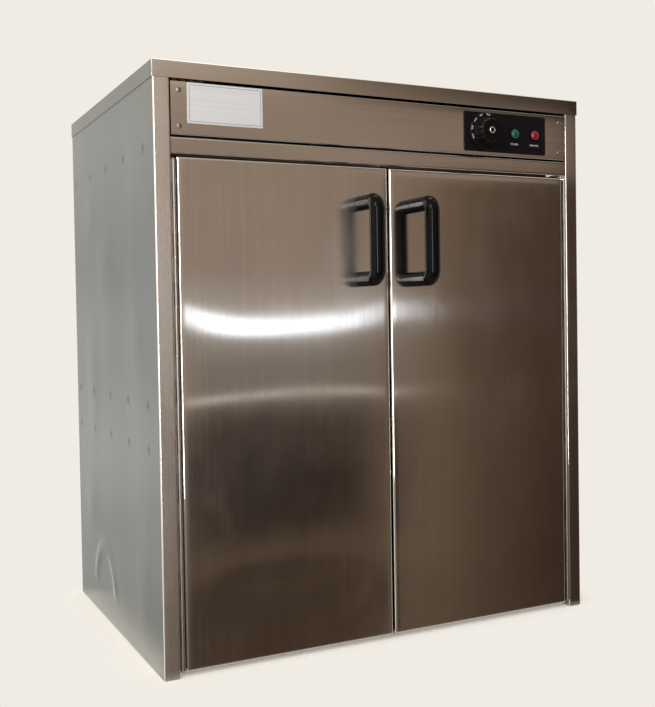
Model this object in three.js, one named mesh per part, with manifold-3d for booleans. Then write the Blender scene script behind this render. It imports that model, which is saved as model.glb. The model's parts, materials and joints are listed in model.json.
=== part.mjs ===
// Blanket warming cabinet: a free-standing steel cabinet with two flush doors on continuous
// hinges, a control fascia above them and a heated, insulated chamber with wire shelves inside.
// Millimetres, +Z up, front towards -Y, origin in the middle of the base on the floor.

import * as THREE from 'three';
import { mergeVertices } from 'three/addons/utils/BufferGeometryUtils.js';
import Module from 'manifold-3d';

const wasm = await Module();
wasm.setup();

// Envelope over the top panel's skirts
const cabinetWidth = 775;
const cabinetDepth = 540;
const cabinetHeight = 900;

// Sheet metal and the clearances between pieces
const sheet = 1.2;
const seatGap = 0.2;
const shaftClearance = 1;

// Top panel and side panels, whose front fold is the post
const skirtHeight = 25;
const postFace = 25;
const postReturn = 42;
const backFlange = 20;
const footFlange = 22;
const fasciaEar = 30;
const earInset = 4;

// Control fascia, front rail and the dark reveals around them
const skirtReveal = 3.5;
const fasciaHeight = 78;
const fasciaFold = 14;
const endReveal = 1.5;
const railReveal = 3;
const railHeight = 24;
const railFold = 20;
const stopLip = 15;

// Doors
const doorThickness = 25;
const doorHeadGap = 3.5;
const doorFloorGap = 7;
const doorMeetingGap = 3;
const doorStopGap = 3;

// Continuous hinges
const hingeGap = 8;
const leafThickness = 1;
const leafWidth = 18;
const barrelRadius = 2.4;
const pinRadius = 1.2;
const pinClearance = 0.3;
const knuckleLength = 36;
const knuckleGap = 0.4;
const webThickness = 0.8;
const hingeEndInset = 4;
const barrelSides = 8;

// Bridge handles
const handleRadius = 12;
const handleReach = 51;
const handleCentres = 120;
const handleBend = 13.5;
const handleFromMeeting = 48.5;
const handleDrop = 118.5;
const handleSides = 14;

// Magnetic catch under the rail's stop lip and the strike plates on the doors
const strikeInset = 12;
const strikeWidth = 30;
const strikeHeight = 12;
const strikeThickness = 1.5;
const catchHeight = 14;
const catchDepth = 12;
const catchOverlap = 2;
const catchNose = 0.6;
const catchRise = 10;

// Control plate with the dial and the two pilot lamps
const plateWidth = 169;
const plateHeight = 66;
const plateThickness = 1.5;
const plateFromRight = 44;
const dialFromPlateLeft = 42;
const greenFromPlateLeft = 102.5;
const redFromPlateLeft = 144.5;

// Dial knob on the thermostat's spindle
const knobSkirtRadius = 32;
const knobSkirtThickness = 4;
const knobHubRadius = 23;
const knobNoseRadius = 20;
const knobHubHeight = 16;
const knobStandOff = 1;
const knobBoreDepth = 12;
const fluteCount = 12;
const fluteRadius = 5;
const fluteDepth = 1.4;
const capRadius = 5.5;
const capThickness = 1.2;
const spindleRadius = 3;
const roundSides = 32;

// Thermostat body, sensor bulb and pilot lamps
const thermostatWidth = 46;
const thermostatDepth = 40;
const thermostatHeight = 48;
const capillaryRadius = 1.2;
const capillaryBend = 20;
const bulbRadius = 4;
const bulbLength = 100;
const bulbDrop = 25;
const lensRadius = 8.8;
const lensRim = 2;
const lensHeight = 7;
const lampBodyRadius = 5.5;
const lampBodyLength = 34;
const lampClearance = 0.5;

// Label plate and fascia screws
const labelWidth = 118;
const labelHeight = 59;
const labelThickness = 0.8;
const labelFromLeft = 25;
const labelFromTop = 1.5;
const screwFromEnd = 12.5;
const screwFromEdge = 13;
const screwHeadRadius = 4;
const screwHeadHeight = 2;
const screwShankRadius = 1.9;
const screwLength = 8;
const screwClearance = 0.3;

// Chamber liner and insulation
const trayHeight = 30;
const rearInsulation = 30;
const ceilingInsulation = 24;
const ceilingStart = 12;
const insulationStart = 75;

// Wire shelves on runners
const lowerShelfHeight = 335;
const upperShelfHeight = 552;
const runnerLedge = 20;
const runnerDrop = 18;
const runnerInset = 10;
const shelfSideGap = 4;
const shelfRodRadius = 4;
const shelfWireRadius = 2.2;
const shelfWirePitch = 38;

// Heating element under its slotted guard
const guardHeight = 80;
const guardInset = 15;
const slotLength = 140;
const slotWidth = 14;
const slotPitchX = 168;
const slotPitchY = 52;
const slotMargin = 20;
const elementRadius = 4.2;
const elementLift = 38;
const elementPitch = 160;
const elementRuns = 4;
const elementBend = 32;
const elementInset = 45;
const elementTail = 16;
const elementClearance = 1;

// Back panel: vents, cable gland and terminal block
const ventCount = 9;
const ventWidth = 6;
const ventHeight = 42;
const ventPitch = 18;
const ventCentre = -200;
const glandFromSide = 186.1;
const glandBodyRadius = 9;
const glandBore = 5;
const glandNutRadius = 14;
const glandNutHeight = 7;
const glandCapRadius = 11.5;
const glandCapHeight = 15;
const glandInside = 12;
const glandTaper = 2;
const terminalFromSide = 86.1;
const terminalWidth = 70;
const terminalHeight = 28;
const terminalDepth = 20;
const terminalWays = 5;
const barrierGroove = 3;
const barrierDepth = 8;
const loomRadius = 4;
const loomBend = 15;
const loomReach = 40;

// Lines that several pieces share
const bodyHalf = cabinetWidth / 2 - sheet - seatGap;
const frontY = -cabinetDepth / 2 + sheet + seatGap;
const backY = cabinetDepth / 2 - sheet - seatGap;
const flangeY = backY - sheet - seatGap;
const postInner = bodyHalf - postFace;
const panelTop = cabinetHeight - sheet - seatGap;
const fasciaTop = cabinetHeight - skirtHeight - skirtReveal;
const fasciaBottom = fasciaTop - fasciaHeight;
const fasciaMiddle = fasciaTop - fasciaHeight / 2;
const fasciaHalf = postInner - endReveal;
const railTop = fasciaBottom - railReveal;
const railBottom = railTop - railHeight;
const betweenPosts = postInner - seatGap;
const doorTop = railBottom - doorHeadGap;
const doorHeight = doorTop - doorFloorGap;
const handleHeight = doorTop - handleDrop;
const hingeX = postInner - hingeGap / 2;
const stopY = frontY + doorThickness + doorStopGap;
const lipBottom = railBottom - stopLip;
const linerBack = flangeY - sheet - seatGap - rearInsulation - seatGap - sheet;
const linerFloor = trayHeight + seatGap + sheet;
const ceilingBottom = railBottom + sheet + seatGap;
const ceilingTop = ceilingBottom + sheet;
const plateFront = frontY - seatGap - plateThickness;
const plateRight = fasciaHalf - plateFromRight;
const plateLeft = plateRight - plateWidth;
const dialX = plateLeft + dialFromPlateLeft;
const bulbY = linerBack - seatGap - bulbRadius;
const elementZ = linerFloor + elementLift;
const glandCentre = bodyHalf - glandFromSide;
const terminalCentre = bodyHalf - terminalFromSide;

// Surface finishes
const brushedSteel = new THREE.MeshStandardMaterial({ color: 0x9c958c, roughness: 0.34, metalness: 1 });
const sideSteel = new THREE.MeshStandardMaterial({ color: 0x9b9992, roughness: 0.45, metalness: 1 });
const linerSteel = new THREE.MeshStandardMaterial({ color: 0xa9a9a6, roughness: 0.4, metalness: 1 });
const brightWire = new THREE.MeshStandardMaterial({ color: 0xc4c4c0, roughness: 0.2, metalness: 1 });
const blackGloss = new THREE.MeshStandardMaterial({ color: 0x141214, roughness: 0.22, metalness: 0 });
const blackPlate = new THREE.MeshStandardMaterial({ color: 0x1d171a, roughness: 0.4, metalness: 0 });
const paleLabel = new THREE.MeshStandardMaterial({ color: 0xd4d6d8, roughness: 0.45, metalness: 0 });
const greenLens = new THREE.MeshStandardMaterial({ color: 0x0b5c40, roughness: 0.15, metalness: 0 });
const redLens = new THREE.MeshStandardMaterial({ color: 0x8c161b, roughness: 0.15, metalness: 0 });
const palePlastic = new THREE.MeshStandardMaterial({ color: 0xcfc9ba, roughness: 0.55, metalness: 0 });
const mineralWool = new THREE.MeshStandardMaterial({ color: 0xb9a869, roughness: 0.95, metalness: 0 });
const darkElement = new THREE.MeshStandardMaterial({ color: 0x4b4743, roughness: 0.6, metalness: 0.8 });
const copper = new THREE.MeshStandardMaterial({ color: 0xb87748, roughness: 0.35, metalness: 1 });

// A box between two opposite corners, in any order.
function block(x0, x1, y0, y1, z0, z1) {
  const size = new THREE.BoxGeometry(Math.abs(x1 - x0), Math.abs(y1 - y0), Math.abs(z1 - z0));
  return size.translate((x0 + x1) / 2, (y0 + y1) / 2, (z0 + z1) / 2);
}

// A round bar along Y between two places on that axis.
function barAlongY(radius, y0, y1, sides) {
  const bar = new THREE.CylinderGeometry(radius, radius, Math.abs(y1 - y0), sides);
  return bar.translate(0, (y0 + y1) / 2, 0);
}

// A round bar along Z or X, centred on its axis.
function barAlongZ(radius, z0, z1, sides) {
  return barAlongY(radius, z0, z1, sides).rotateX(Math.PI / 2);
}

function barAlongX(radius, length, sides) {
  return barAlongY(radius, -length / 2, length / 2, sides).rotateZ(Math.PI / 2);
}

// A folded sheet section drawn in plan and stood up along Z.
function foldUpright(outline, z0, z1) {
  const shape = new THREE.Shape(outline.map(([x, y]) => new THREE.Vector2(x, y)));
  const folded = new THREE.ExtrudeGeometry(shape, { depth: z1 - z0, bevelEnabled: false });
  return folded.translate(0, 0, z0);
}

// A folded sheet section drawn in (y, z) and run along X.
function foldAcross(outline, halfLength) {
  const shape = new THREE.Shape(outline.map(([y, z]) => new THREE.Vector2(y, z)));
  const folded = new THREE.ExtrudeGeometry(shape, { depth: 2 * halfLength, bevelEnabled: false });
  const turn = new THREE.Matrix4().makeBasis(
    new THREE.Vector3(0, 1, 0),
    new THREE.Vector3(0, 0, 1),
    new THREE.Vector3(1, 0, 0),
  );
  return folded.applyMatrix4(turn).translate(-halfLength, 0, 0);
}

// Joining and cutting of closed shapes.
function toSolid(geometry) {
  const bare = geometry.clone();
  bare.deleteAttribute('normal');
  bare.deleteAttribute('uv');
  const merged = mergeVertices(bare, 1e-4);
  return new wasm.Manifold(new wasm.Mesh({
    numProp: 3,
    vertProperties: merged.attributes.position.array,
    triVerts: new Uint32Array(merged.index.array),
  }));
}

function fromSolid(solid) {
  const mesh = solid.getMesh();
  const geometry = new THREE.BufferGeometry();
  geometry.setAttribute('position', new THREE.BufferAttribute(mesh.vertProperties, 3));
  geometry.setIndex(new THREE.BufferAttribute(mesh.triVerts, 1));
  geometry.computeVertexNormals();
  return geometry;
}

function join(...shapes) {
  return fromSolid(shapes.map(toSolid).reduce((whole, next) => whole.add(next)));
}

function cut(shape, ...tools) {
  return fromSolid(tools.map(toSolid).reduce((left, tool) => left.subtract(tool), toSolid(shape)));
}

// A route through corner points with a bend of one radius at each inner corner.
class BentRoute extends THREE.Curve {
  constructor(corners, bendRadius, bendSteps) {
    super();
    this.stops = [corners[0].clone()];
    for (let i = 1; i < corners.length - 1; i += 1) {
      const arriving = corners[i].clone().sub(corners[i - 1]).normalize();
      const leaving = corners[i + 1].clone().sub(corners[i]).normalize();
      const turn = arriving.angleTo(leaving);
      const setBack = bendRadius * Math.tan(turn / 2);
      const bendStart = corners[i].clone().addScaledVector(arriving, -setBack);
      const sideways = leaving.clone().addScaledVector(arriving, -leaving.dot(arriving)).normalize();
      const centre = bendStart.clone().addScaledVector(sideways, bendRadius);
      const spoke = bendStart.sub(centre);
      const axis = arriving.clone().cross(leaving).normalize();
      for (let step = 0; step <= bendSteps; step += 1) {
        this.stops.push(spoke.clone().applyAxisAngle(axis, (turn * step) / bendSteps).add(centre));
      }
    }
    this.stops.push(corners[corners.length - 1].clone());
  }

  get steps() {
    return this.stops.length - 1;
  }

  getPoint(t, target = new THREE.Vector3()) {
    const place = t * this.steps;
    const i = Math.min(Math.floor(place), this.steps - 1);
    return target.lerpVectors(this.stops[i], this.stops[i + 1], place - i);
  }

  getPointAt(u, target) {
    return this.getPoint(u, target);
  }

  getTangentAt(u, target = new THREE.Vector3()) {
    const i = Math.round(u * this.steps);
    target.set(0, 0, 0);
    if (i > 0) target.add(this.stops[i].clone().sub(this.stops[i - 1]).normalize());
    if (i < this.steps) target.add(this.stops[i + 1].clone().sub(this.stops[i]).normalize());
    return target.normalize();
  }
}

function bentTube(corners, tubeRadius, bendRadius, sides, bendSteps) {
  const route = new BentRoute(corners, bendRadius, bendSteps);
  const ring = [];
  for (let i = 0; i < sides; i += 1) {
    const angle = (2 * Math.PI * i) / sides;
    ring.push(new THREE.Vector2(tubeRadius * Math.cos(angle), tubeRadius * Math.sin(angle)));
  }
  const section = new THREE.Shape(ring);
  return new THREE.ExtrudeGeometry(section, { steps: route.steps, extrudePath: route, bevelEnabled: false });
}

// A turned piece: its outline of [radius, y] points is spun about the Y axis.
function turned(outline, sides) {
  return new THREE.LatheGeometry(outline.map(([r, y]) => new THREE.Vector2(r, y)), sides);
}

function point(x, y, z) {
  return new THREE.Vector3(x, y, z);
}

const cabinet = new THREE.Group();

function addPiece(group, name, geometry, material, x = 0, y = 0, z = 0) {
  const piece = new THREE.Mesh(geometry, material);
  piece.name = name;
  piece.position.set(x, y, z);
  group.add(piece);
  return piece;
}

// Casing: top, side panels, back and base.
function topPanel() {
  const halfWidth = cabinetWidth / 2;
  const halfDepth = cabinetDepth / 2;
  const lowerEdge = cabinetHeight - skirtHeight;
  const blank = block(-halfWidth, halfWidth, -halfDepth, halfDepth, lowerEdge, cabinetHeight);
  const inside = block(
    sheet - halfWidth, halfWidth - sheet,
    sheet - halfDepth, halfDepth - sheet,
    lowerEdge - skirtHeight, cabinetHeight - sheet,
  );
  return cut(blank, inside);
}

// One sheet folded round the front into the post, with a flange at the back, a foot flange
// and an ear behind the fascia that takes the fascia's screws.
function sidePanel(side) {
  const outline = [
    [bodyHalf - backFlange, flangeY],
    [bodyHalf, flangeY],
    [bodyHalf, frontY],
    [postInner, frontY],
    [postInner, frontY + postReturn],
    [postInner + sheet, frontY + postReturn],
    [postInner + sheet, frontY + sheet],
    [bodyHalf - sheet, frontY + sheet],
    [bodyHalf - sheet, flangeY - sheet],
    [bodyHalf - backFlange, flangeY - sheet],
  ].map(([x, y]) => [side * x, y]);
  const web = foldUpright(outline, 0, panelTop);
  const foot = block(
    side * (bodyHalf - footFlange), side * (bodyHalf - sheet / 2),
    frontY + sheet / 2, flangeY - sheet / 2,
    0, sheet,
  );
  const earY = frontY + sheet + seatGap;
  const ear = block(
    side * (postInner - fasciaEar), side * (postInner + sheet / 2),
    earY, earY + sheet,
    fasciaBottom + sheet + earInset, fasciaTop - sheet - earInset,
  );
  const holes = screwHeights().map((z) => barAlongY(
    screwShankRadius + screwClearance, frontY - sheet, earY + 2 * sheet, 12,
  ).translate(side * (fasciaHalf - screwFromEnd), 0, z));
  return cut(join(web, foot, ear), ...holes);
}

function screwHeights() {
  return [fasciaTop - screwFromEdge, fasciaBottom + screwFromEdge];
}

function backPanel() {
  const plate = block(-bodyHalf, bodyHalf, backY - sheet, backY, 0, panelTop);
  const slots = [];
  for (let i = 0; i < ventCount; i += 1) {
    const x = ventCentre + (i - (ventCount - 1) / 2) * ventPitch;
    slots.push(block(
      x - ventWidth / 2, x + ventWidth / 2,
      backY - 2 * sheet, backY + sheet,
      fasciaMiddle - ventHeight / 2, fasciaMiddle + ventHeight / 2,
    ));
  }
  const glandHole = barAlongY(glandBodyRadius + screwClearance, backY - 2 * sheet, backY + sheet, roundSides);
  return cut(plate, ...slots, glandHole.translate(glandCentre, 0, fasciaMiddle));
}

function baseTray() {
  const blank = block(-betweenPosts, betweenPosts, stopY, flangeY - seatGap, 0, trayHeight);
  const inside = block(
    sheet - betweenPosts, betweenPosts - sheet,
    stopY + sheet, flangeY - seatGap - sheet,
    sheet, 2 * trayHeight,
  );
  return cut(blank, inside);
}

// Front rail: a channel whose lower fold turns down behind the doors as their stop.
function frontRail() {
  return foldAcross([
    [frontY + railFold, railTop],
    [frontY, railTop],
    [frontY, railBottom],
    [stopY, railBottom],
    [stopY, lipBottom],
    [stopY + sheet, lipBottom],
    [stopY + sheet, railBottom + sheet],
    [frontY + sheet, railBottom + sheet],
    [frontY + sheet, railTop - sheet],
    [frontY + railFold, railTop - sheet],
  ], betweenPosts);
}

// Control fascia: a shallow channel pierced for the spindle, the lamps and its four screws.
function controlFascia() {
  const channel = foldAcross([
    [frontY + fasciaFold, fasciaTop],
    [frontY, fasciaTop],
    [frontY, fasciaBottom],
    [frontY + fasciaFold, fasciaBottom],
    [frontY + fasciaFold, fasciaBottom + sheet],
    [frontY + sheet, fasciaBottom + sheet],
    [frontY + sheet, fasciaTop - sheet],
    [frontY + fasciaFold, fasciaTop - sheet],
  ], fasciaHalf);
  const screwHoles = [];
  for (const side of [-1, 1]) {
    for (const z of screwHeights()) {
      const hole = barAlongY(screwShankRadius + screwClearance, frontY - sheet, frontY + 2 * sheet, 12);
      screwHoles.push(hole.translate(side * (fasciaHalf - screwFromEnd), 0, z));
    }
  }
  return cut(channel, ...controlHoles(), ...screwHoles);
}

function controlHoles() {
  const spindleHole = barAlongY(spindleRadius + shaftClearance, plateFront - sheet, frontY + 2 * sheet, 16);
  const holes = [spindleHole.translate(dialX, 0, fasciaMiddle)];
  for (const fromLeft of [greenFromPlateLeft, redFromPlateLeft]) {
    const hole = barAlongY(lampBodyRadius + lampClearance, plateFront - sheet, frontY + 2 * sheet, 16);
    holes.push(hole.translate(plateLeft + fromLeft, 0, fasciaMiddle));
  }
  return holes;
}

addPiece(cabinet, 'top_panel', topPanel(), brushedSteel);
addPiece(cabinet, 'left_side_panel', sidePanel(-1), sideSteel);
addPiece(cabinet, 'right_side_panel', sidePanel(1), sideSteel);
addPiece(cabinet, 'back_panel', backPanel(), sideSteel);
addPiece(cabinet, 'base_tray', baseTray(), sideSteel);
addPiece(cabinet, 'front_rail', frontRail(), brushedSteel);
addPiece(cabinet, 'control_fascia', controlFascia(), brushedSteel);

// Pan-head screws that hold the fascia to the ears behind it.
function fasciaScrew() {
  return turned([
    [0, -screwHeadHeight],
    [screwHeadRadius * 0.6, -screwHeadHeight],
    [screwHeadRadius, -screwHeadHeight * 0.35],
    [screwHeadRadius, 0],
    [screwShankRadius, 0],
    [screwShankRadius, screwLength],
    [0, screwLength],
  ], 12);
}

for (const [side, sideName] of [[-1, 'left'], [1, 'right']]) {
  screwHeights().forEach((z, i) => {
    const name = `fascia_screw_${sideName}_${i === 0 ? 'upper' : 'lower'}`;
    const x = side * (fasciaHalf - screwFromEnd);
    addPiece(cabinet, name, fasciaScrew(), brightWire, x, frontY - seatGap, z);
  });
}

// Controls: black plate, pilot lamps, thermostat and its dial, label.
const controlPlate = block(
  plateLeft, plateRight,
  plateFront, frontY - seatGap,
  fasciaMiddle - plateHeight / 2, fasciaMiddle + plateHeight / 2,
);
addPiece(cabinet, 'control_plate', cut(controlPlate, ...controlHoles()), blackPlate);

const labelLeft = -fasciaHalf + labelFromLeft;
const labelTop = fasciaTop - labelFromTop;
addPiece(cabinet, 'label_plate', block(
  labelLeft, labelLeft + labelWidth,
  frontY - seatGap - labelThickness, frontY - seatGap,
  labelTop - labelHeight, labelTop,
), paleLabel);

function pilotLens() {
  const outline = [[0, 0], [lensRadius, 0], [lensRadius, -lensRim]];
  const domeSteps = 5;
  for (let i = 1; i <= domeSteps; i += 1) {
    const angle = (Math.PI / 2) * (i / domeSteps);
    const radius = i === domeSteps ? 0 : lensRadius * Math.cos(angle);
    outline.push([radius, -lensRim - (lensHeight - lensRim) * Math.sin(angle)]);
  }
  return turned(outline.reverse(), 20);
}

for (const [colour, fromLeft, lens] of [
  ['green', greenFromPlateLeft, greenLens],
  ['red', redFromPlateLeft, redLens],
]) {
  const x = plateLeft + fromLeft;
  const body = barAlongY(lampBodyRadius, 0, lampBodyLength, 16);
  addPiece(cabinet, `${colour}_lamp_lens`, pilotLens(), lens, x, plateFront - seatGap, fasciaMiddle);
  addPiece(cabinet, `${colour}_lamp_body`, body, palePlastic, x, plateFront, fasciaMiddle);
}

const thermostatFront = frontY + sheet + seatGap;
const thermostatBack = thermostatFront + thermostatDepth;
addPiece(cabinet, 'thermostat_body', block(
  dialX - thermostatWidth / 2, dialX + thermostatWidth / 2,
  thermostatFront, thermostatBack,
  fasciaMiddle - thermostatHeight / 2, fasciaMiddle + thermostatHeight / 2,
), palePlastic);

// Dial: everything here turns with the spindle. Local y is 0 on the control plate's face.
const dial = new THREE.Group();
dial.position.set(dialX, plateFront, fasciaMiddle);
cabinet.add(dial);

function dialKnob() {
  const back = -knobStandOff;
  const shoulder = back - knobSkirtThickness;
  const nose = shoulder - knobHubHeight;
  const round = turned([
    [0, nose],
    [knobNoseRadius - 1.5, nose],
    [knobNoseRadius, nose + 1.5],
    [knobHubRadius, shoulder],
    [knobSkirtRadius - 1, shoulder],
    [knobSkirtRadius, shoulder + 1],
    [knobSkirtRadius, back],
    [0, back],
  ], roundSides);
  const bore = barAlongY(spindleRadius + seatGap, back - knobBoreDepth, back + sheet, 16);
  const flutes = [];
  for (let i = 0; i < fluteCount; i += 1) {
    const angle = (2 * Math.PI * (i + 0.5)) / fluteCount;
    const reach = knobNoseRadius + fluteRadius - fluteDepth;
    const flute = barAlongY(fluteRadius, nose - 1, shoulder - 1.5, 10);
    flutes.push(flute.translate(reach * Math.cos(angle), 0, reach * Math.sin(angle)));
  }
  return cut(round, bore, ...flutes);
}

const noseY = -knobStandOff - knobSkirtThickness - knobHubHeight;
const spindleTip = -knobStandOff - knobBoreDepth + seatGap;
const spindleRoot = thermostatFront - seatGap - plateFront;
addPiece(dial, 'thermostat_knob', dialKnob(), blackGloss);
const knobCap = barAlongY(capRadius, noseY - seatGap - capThickness, noseY - seatGap, 20);
addPiece(dial, 'knob_cap', knobCap, brightWire);
addPiece(dial, 'thermostat_spindle', barAlongY(spindleRadius, spindleTip, spindleRoot, 16), brightWire);

// Sensor: a capillary runs back over the chamber and drops through its ceiling to the bulb.
const bulbTop = ceilingBottom - bulbDrop;
const capillary = bentTube([
  point(dialX, thermostatBack + seatGap, fasciaMiddle),
  point(dialX, bulbY, fasciaMiddle),
  point(dialX, bulbY, bulbTop - bulbRadius),
], capillaryRadius, capillaryBend, 8, 6);
const bulb = barAlongZ(bulbRadius, bulbTop - bulbLength, bulbTop, 12).translate(dialX, bulbY, 0);
addPiece(cabinet, 'sensor_capillary', join(capillary, bulb), copper);

function capillaryHole(z0, z1) {
  return barAlongZ(capillaryRadius + shaftClearance, z0, z1, 12).translate(dialX, bulbY, 0);
}

// Cable gland through the back, terminal block beside it and the loom to the lamps.
function cableGland() {
  const outside = sheet + seatGap;
  const end = outside + glandNutHeight + glandCapHeight;
  return turned([
    [glandBore, -glandInside],
    [glandBore, end],
    [glandCapRadius - glandTaper, end],
    [glandCapRadius, end - glandTaper],
    [glandCapRadius, outside + glandNutHeight],
    [glandNutRadius, outside + glandNutHeight],
    [glandNutRadius, outside],
    [glandBodyRadius, outside],
    [glandBodyRadius, -seatGap],
    [glandNutRadius, -seatGap],
    [glandNutRadius, -glandNutHeight],
    [glandBodyRadius, -glandNutHeight],
    [glandBodyRadius, -glandInside],
    [glandBore, -glandInside],
  ].reverse(), 24);
}
addPiece(cabinet, 'cable_gland', cableGland(), blackPlate, glandCentre, backY - sheet, fasciaMiddle);

const terminalBack = backY - sheet - seatGap;
const terminalFront = terminalBack - terminalDepth;
function terminalBlock() {
  const body = block(
    terminalCentre - terminalWidth / 2, terminalCentre + terminalWidth / 2,
    terminalFront, terminalBack,
    fasciaMiddle - terminalHeight / 2, fasciaMiddle + terminalHeight / 2,
  );
  const grooves = [];
  for (let i = 1; i < terminalWays; i += 1) {
    const x = terminalCentre - terminalWidth / 2 + (i * terminalWidth) / terminalWays;
    grooves.push(block(
      x - barrierGroove / 2, x + barrierGroove / 2,
      terminalFront - sheet, terminalFront + barrierDepth,
      fasciaMiddle - terminalHeight, fasciaMiddle + terminalHeight,
    ));
  }
  return cut(body, ...grooves);
}
addPiece(cabinet, 'terminal_block', terminalBlock(), palePlastic);

const greenX = plateLeft + greenFromPlateLeft;
const lampBack = plateFront + lampBodyLength + seatGap;
addPiece(cabinet, 'wiring_loom', bentTube([
  point(terminalCentre, terminalFront - seatGap, fasciaMiddle),
  point(terminalCentre, lampBack + loomReach, fasciaMiddle),
  point(greenX, lampBack + loomReach, fasciaMiddle),
  point(greenX, lampBack, fasciaMiddle),
], loomRadius, loomBend, 8, 5), blackPlate);

// Chamber: flat liner panels between the posts, with insulation outside them.
const linerFront = frontY + postReturn + seatGap;
for (const [side, sideName] of [[-1, 'left'], [1, 'right']]) {
  addPiece(cabinet, `liner_${sideName}`, block(
    side * postInner, side * (postInner + sheet),
    linerFront, linerBack + sheet,
    trayHeight, ceilingTop,
  ), linerSteel);
}

addPiece(cabinet, 'liner_floor', block(
  -betweenPosts, betweenPosts,
  stopY, linerBack + sheet,
  trayHeight + seatGap, linerFloor,
), linerSteel);

const ceilingPlate = block(
  -betweenPosts, betweenPosts,
  frontY + ceilingStart, linerBack + sheet,
  ceilingBottom, ceilingTop,
);
const ceilingHole = capillaryHole(ceilingBottom - sheet, ceilingTop + sheet);
addPiece(cabinet, 'liner_ceiling', cut(ceilingPlate, ceilingHole), linerSteel);

// The element's two ends leave the chamber through the back liner.
const elementOuter = (elementPitch * (elementRuns - 1)) / 2;
function elementHoles(radius, y0, y1) {
  return [-elementOuter, elementOuter].map(
    (x) => barAlongY(radius, y0, y1, 12).translate(x, 0, elementZ),
  );
}
const backPlate = block(
  -betweenPosts, betweenPosts,
  linerBack, linerBack + sheet,
  linerFloor + seatGap, ceilingBottom - seatGap,
);
const backHoles = elementHoles(elementRadius + elementClearance, linerBack - sheet, linerBack + 2 * sheet);
addPiece(cabinet, 'liner_back', cut(backPlate, ...backHoles), linerSteel);

const woolInner = postInner + sheet + seatGap;
const woolOuter = bodyHalf - sheet - seatGap;
const woolFront = linerBack + sheet + seatGap;
const woolBack = flangeY - sheet - seatGap;
const woolLining = frontY + sheet + seatGap;
const woolWrap = foldUpright([
  [-woolOuter, woolLining],
  [-woolOuter, woolBack],
  [woolOuter, woolBack],
  [woolOuter, woolLining],
  [woolInner, woolLining],
  [woolInner, woolFront],
  [-woolInner, woolFront],
  [-woolInner, woolLining],
], trayHeight + seatGap, ceilingTop);
const tailPocket = elementTail + elementClearance;
const woolPockets = elementHoles(elementRadius + elementClearance, linerBack, woolFront + tailPocket);
addPiece(cabinet, 'insulation_wrap', cut(woolWrap, ...woolPockets), mineralWool);

addPiece(cabinet, 'insulation_floor', block(
  sheet + seatGap - betweenPosts, betweenPosts - sheet - seatGap,
  stopY + sheet + seatGap, flangeY - 2 * seatGap - sheet,
  sheet + seatGap, trayHeight,
), mineralWool);

const ceilingWool = block(
  -betweenPosts, betweenPosts,
  frontY + insulationStart, linerBack + sheet,
  ceilingTop + seatGap, ceilingTop + seatGap + ceilingInsulation,
);
const woolHole = capillaryHole(ceilingBottom, ceilingTop + 2 * ceilingInsulation);
addPiece(cabinet, 'insulation_ceiling', cut(ceilingWool, woolHole), mineralWool);

// Wire shelves: a rod frame with wires welded across it, lying on angle runners.
const runnerFront = linerFront + runnerInset;
const runnerBack = linerBack - runnerInset;
function shelfRunner(side) {
  const wall = side * betweenPosts;
  const upright = block(wall, wall - side * sheet, runnerFront, runnerBack, -runnerDrop, 0);
  const ledge = block(wall, wall - side * runnerLedge, runnerFront, runnerBack, -sheet, 0);
  return join(upright, ledge);
}

function wireShelf() {
  const halfWidth = betweenPosts - sheet - shelfSideGap - shelfRodRadius;
  const front = runnerFront + shelfRodRadius;
  const back = bulbY - bulbRadius - shelfSideGap - shelfRodRadius;
  const rods = [];
  for (const x of [-halfWidth, halfWidth]) {
    const rod = barAlongY(shelfRodRadius, front - shelfRodRadius, back + shelfRodRadius, 8);
    rods.push(rod.translate(x, 0, shelfRodRadius));
  }
  for (const y of [front, (front + back) / 2, back]) {
    rods.push(barAlongX(shelfRodRadius, 2 * halfWidth, 8).translate(0, y, shelfRodRadius));
  }
  const wireZ = 2 * shelfRodRadius + shelfWireRadius / 2;
  const wires = Math.floor((2 * halfWidth) / shelfWirePitch) - 1;
  for (let i = 0; i < wires; i += 1) {
    const x = (i - (wires - 1) / 2) * shelfWirePitch;
    const wire = barAlongY(shelfWireRadius, front - shelfRodRadius, back + shelfRodRadius, 6);
    rods.push(wire.translate(x, 0, wireZ));
  }
  return join(...rods);
}

for (const [level, height] of [['lower', lowerShelfHeight], ['upper', upperShelfHeight]]) {
  for (const [side, sideName] of [[-1, 'left'], [1, 'right']]) {
    addPiece(cabinet, `shelf_runner_${level}_${sideName}`, shelfRunner(side), linerSteel, 0, 0, height);
  }
  addPiece(cabinet, `${level}_shelf`, wireShelf(), brightWire, 0, 0, height + seatGap);
}

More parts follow.
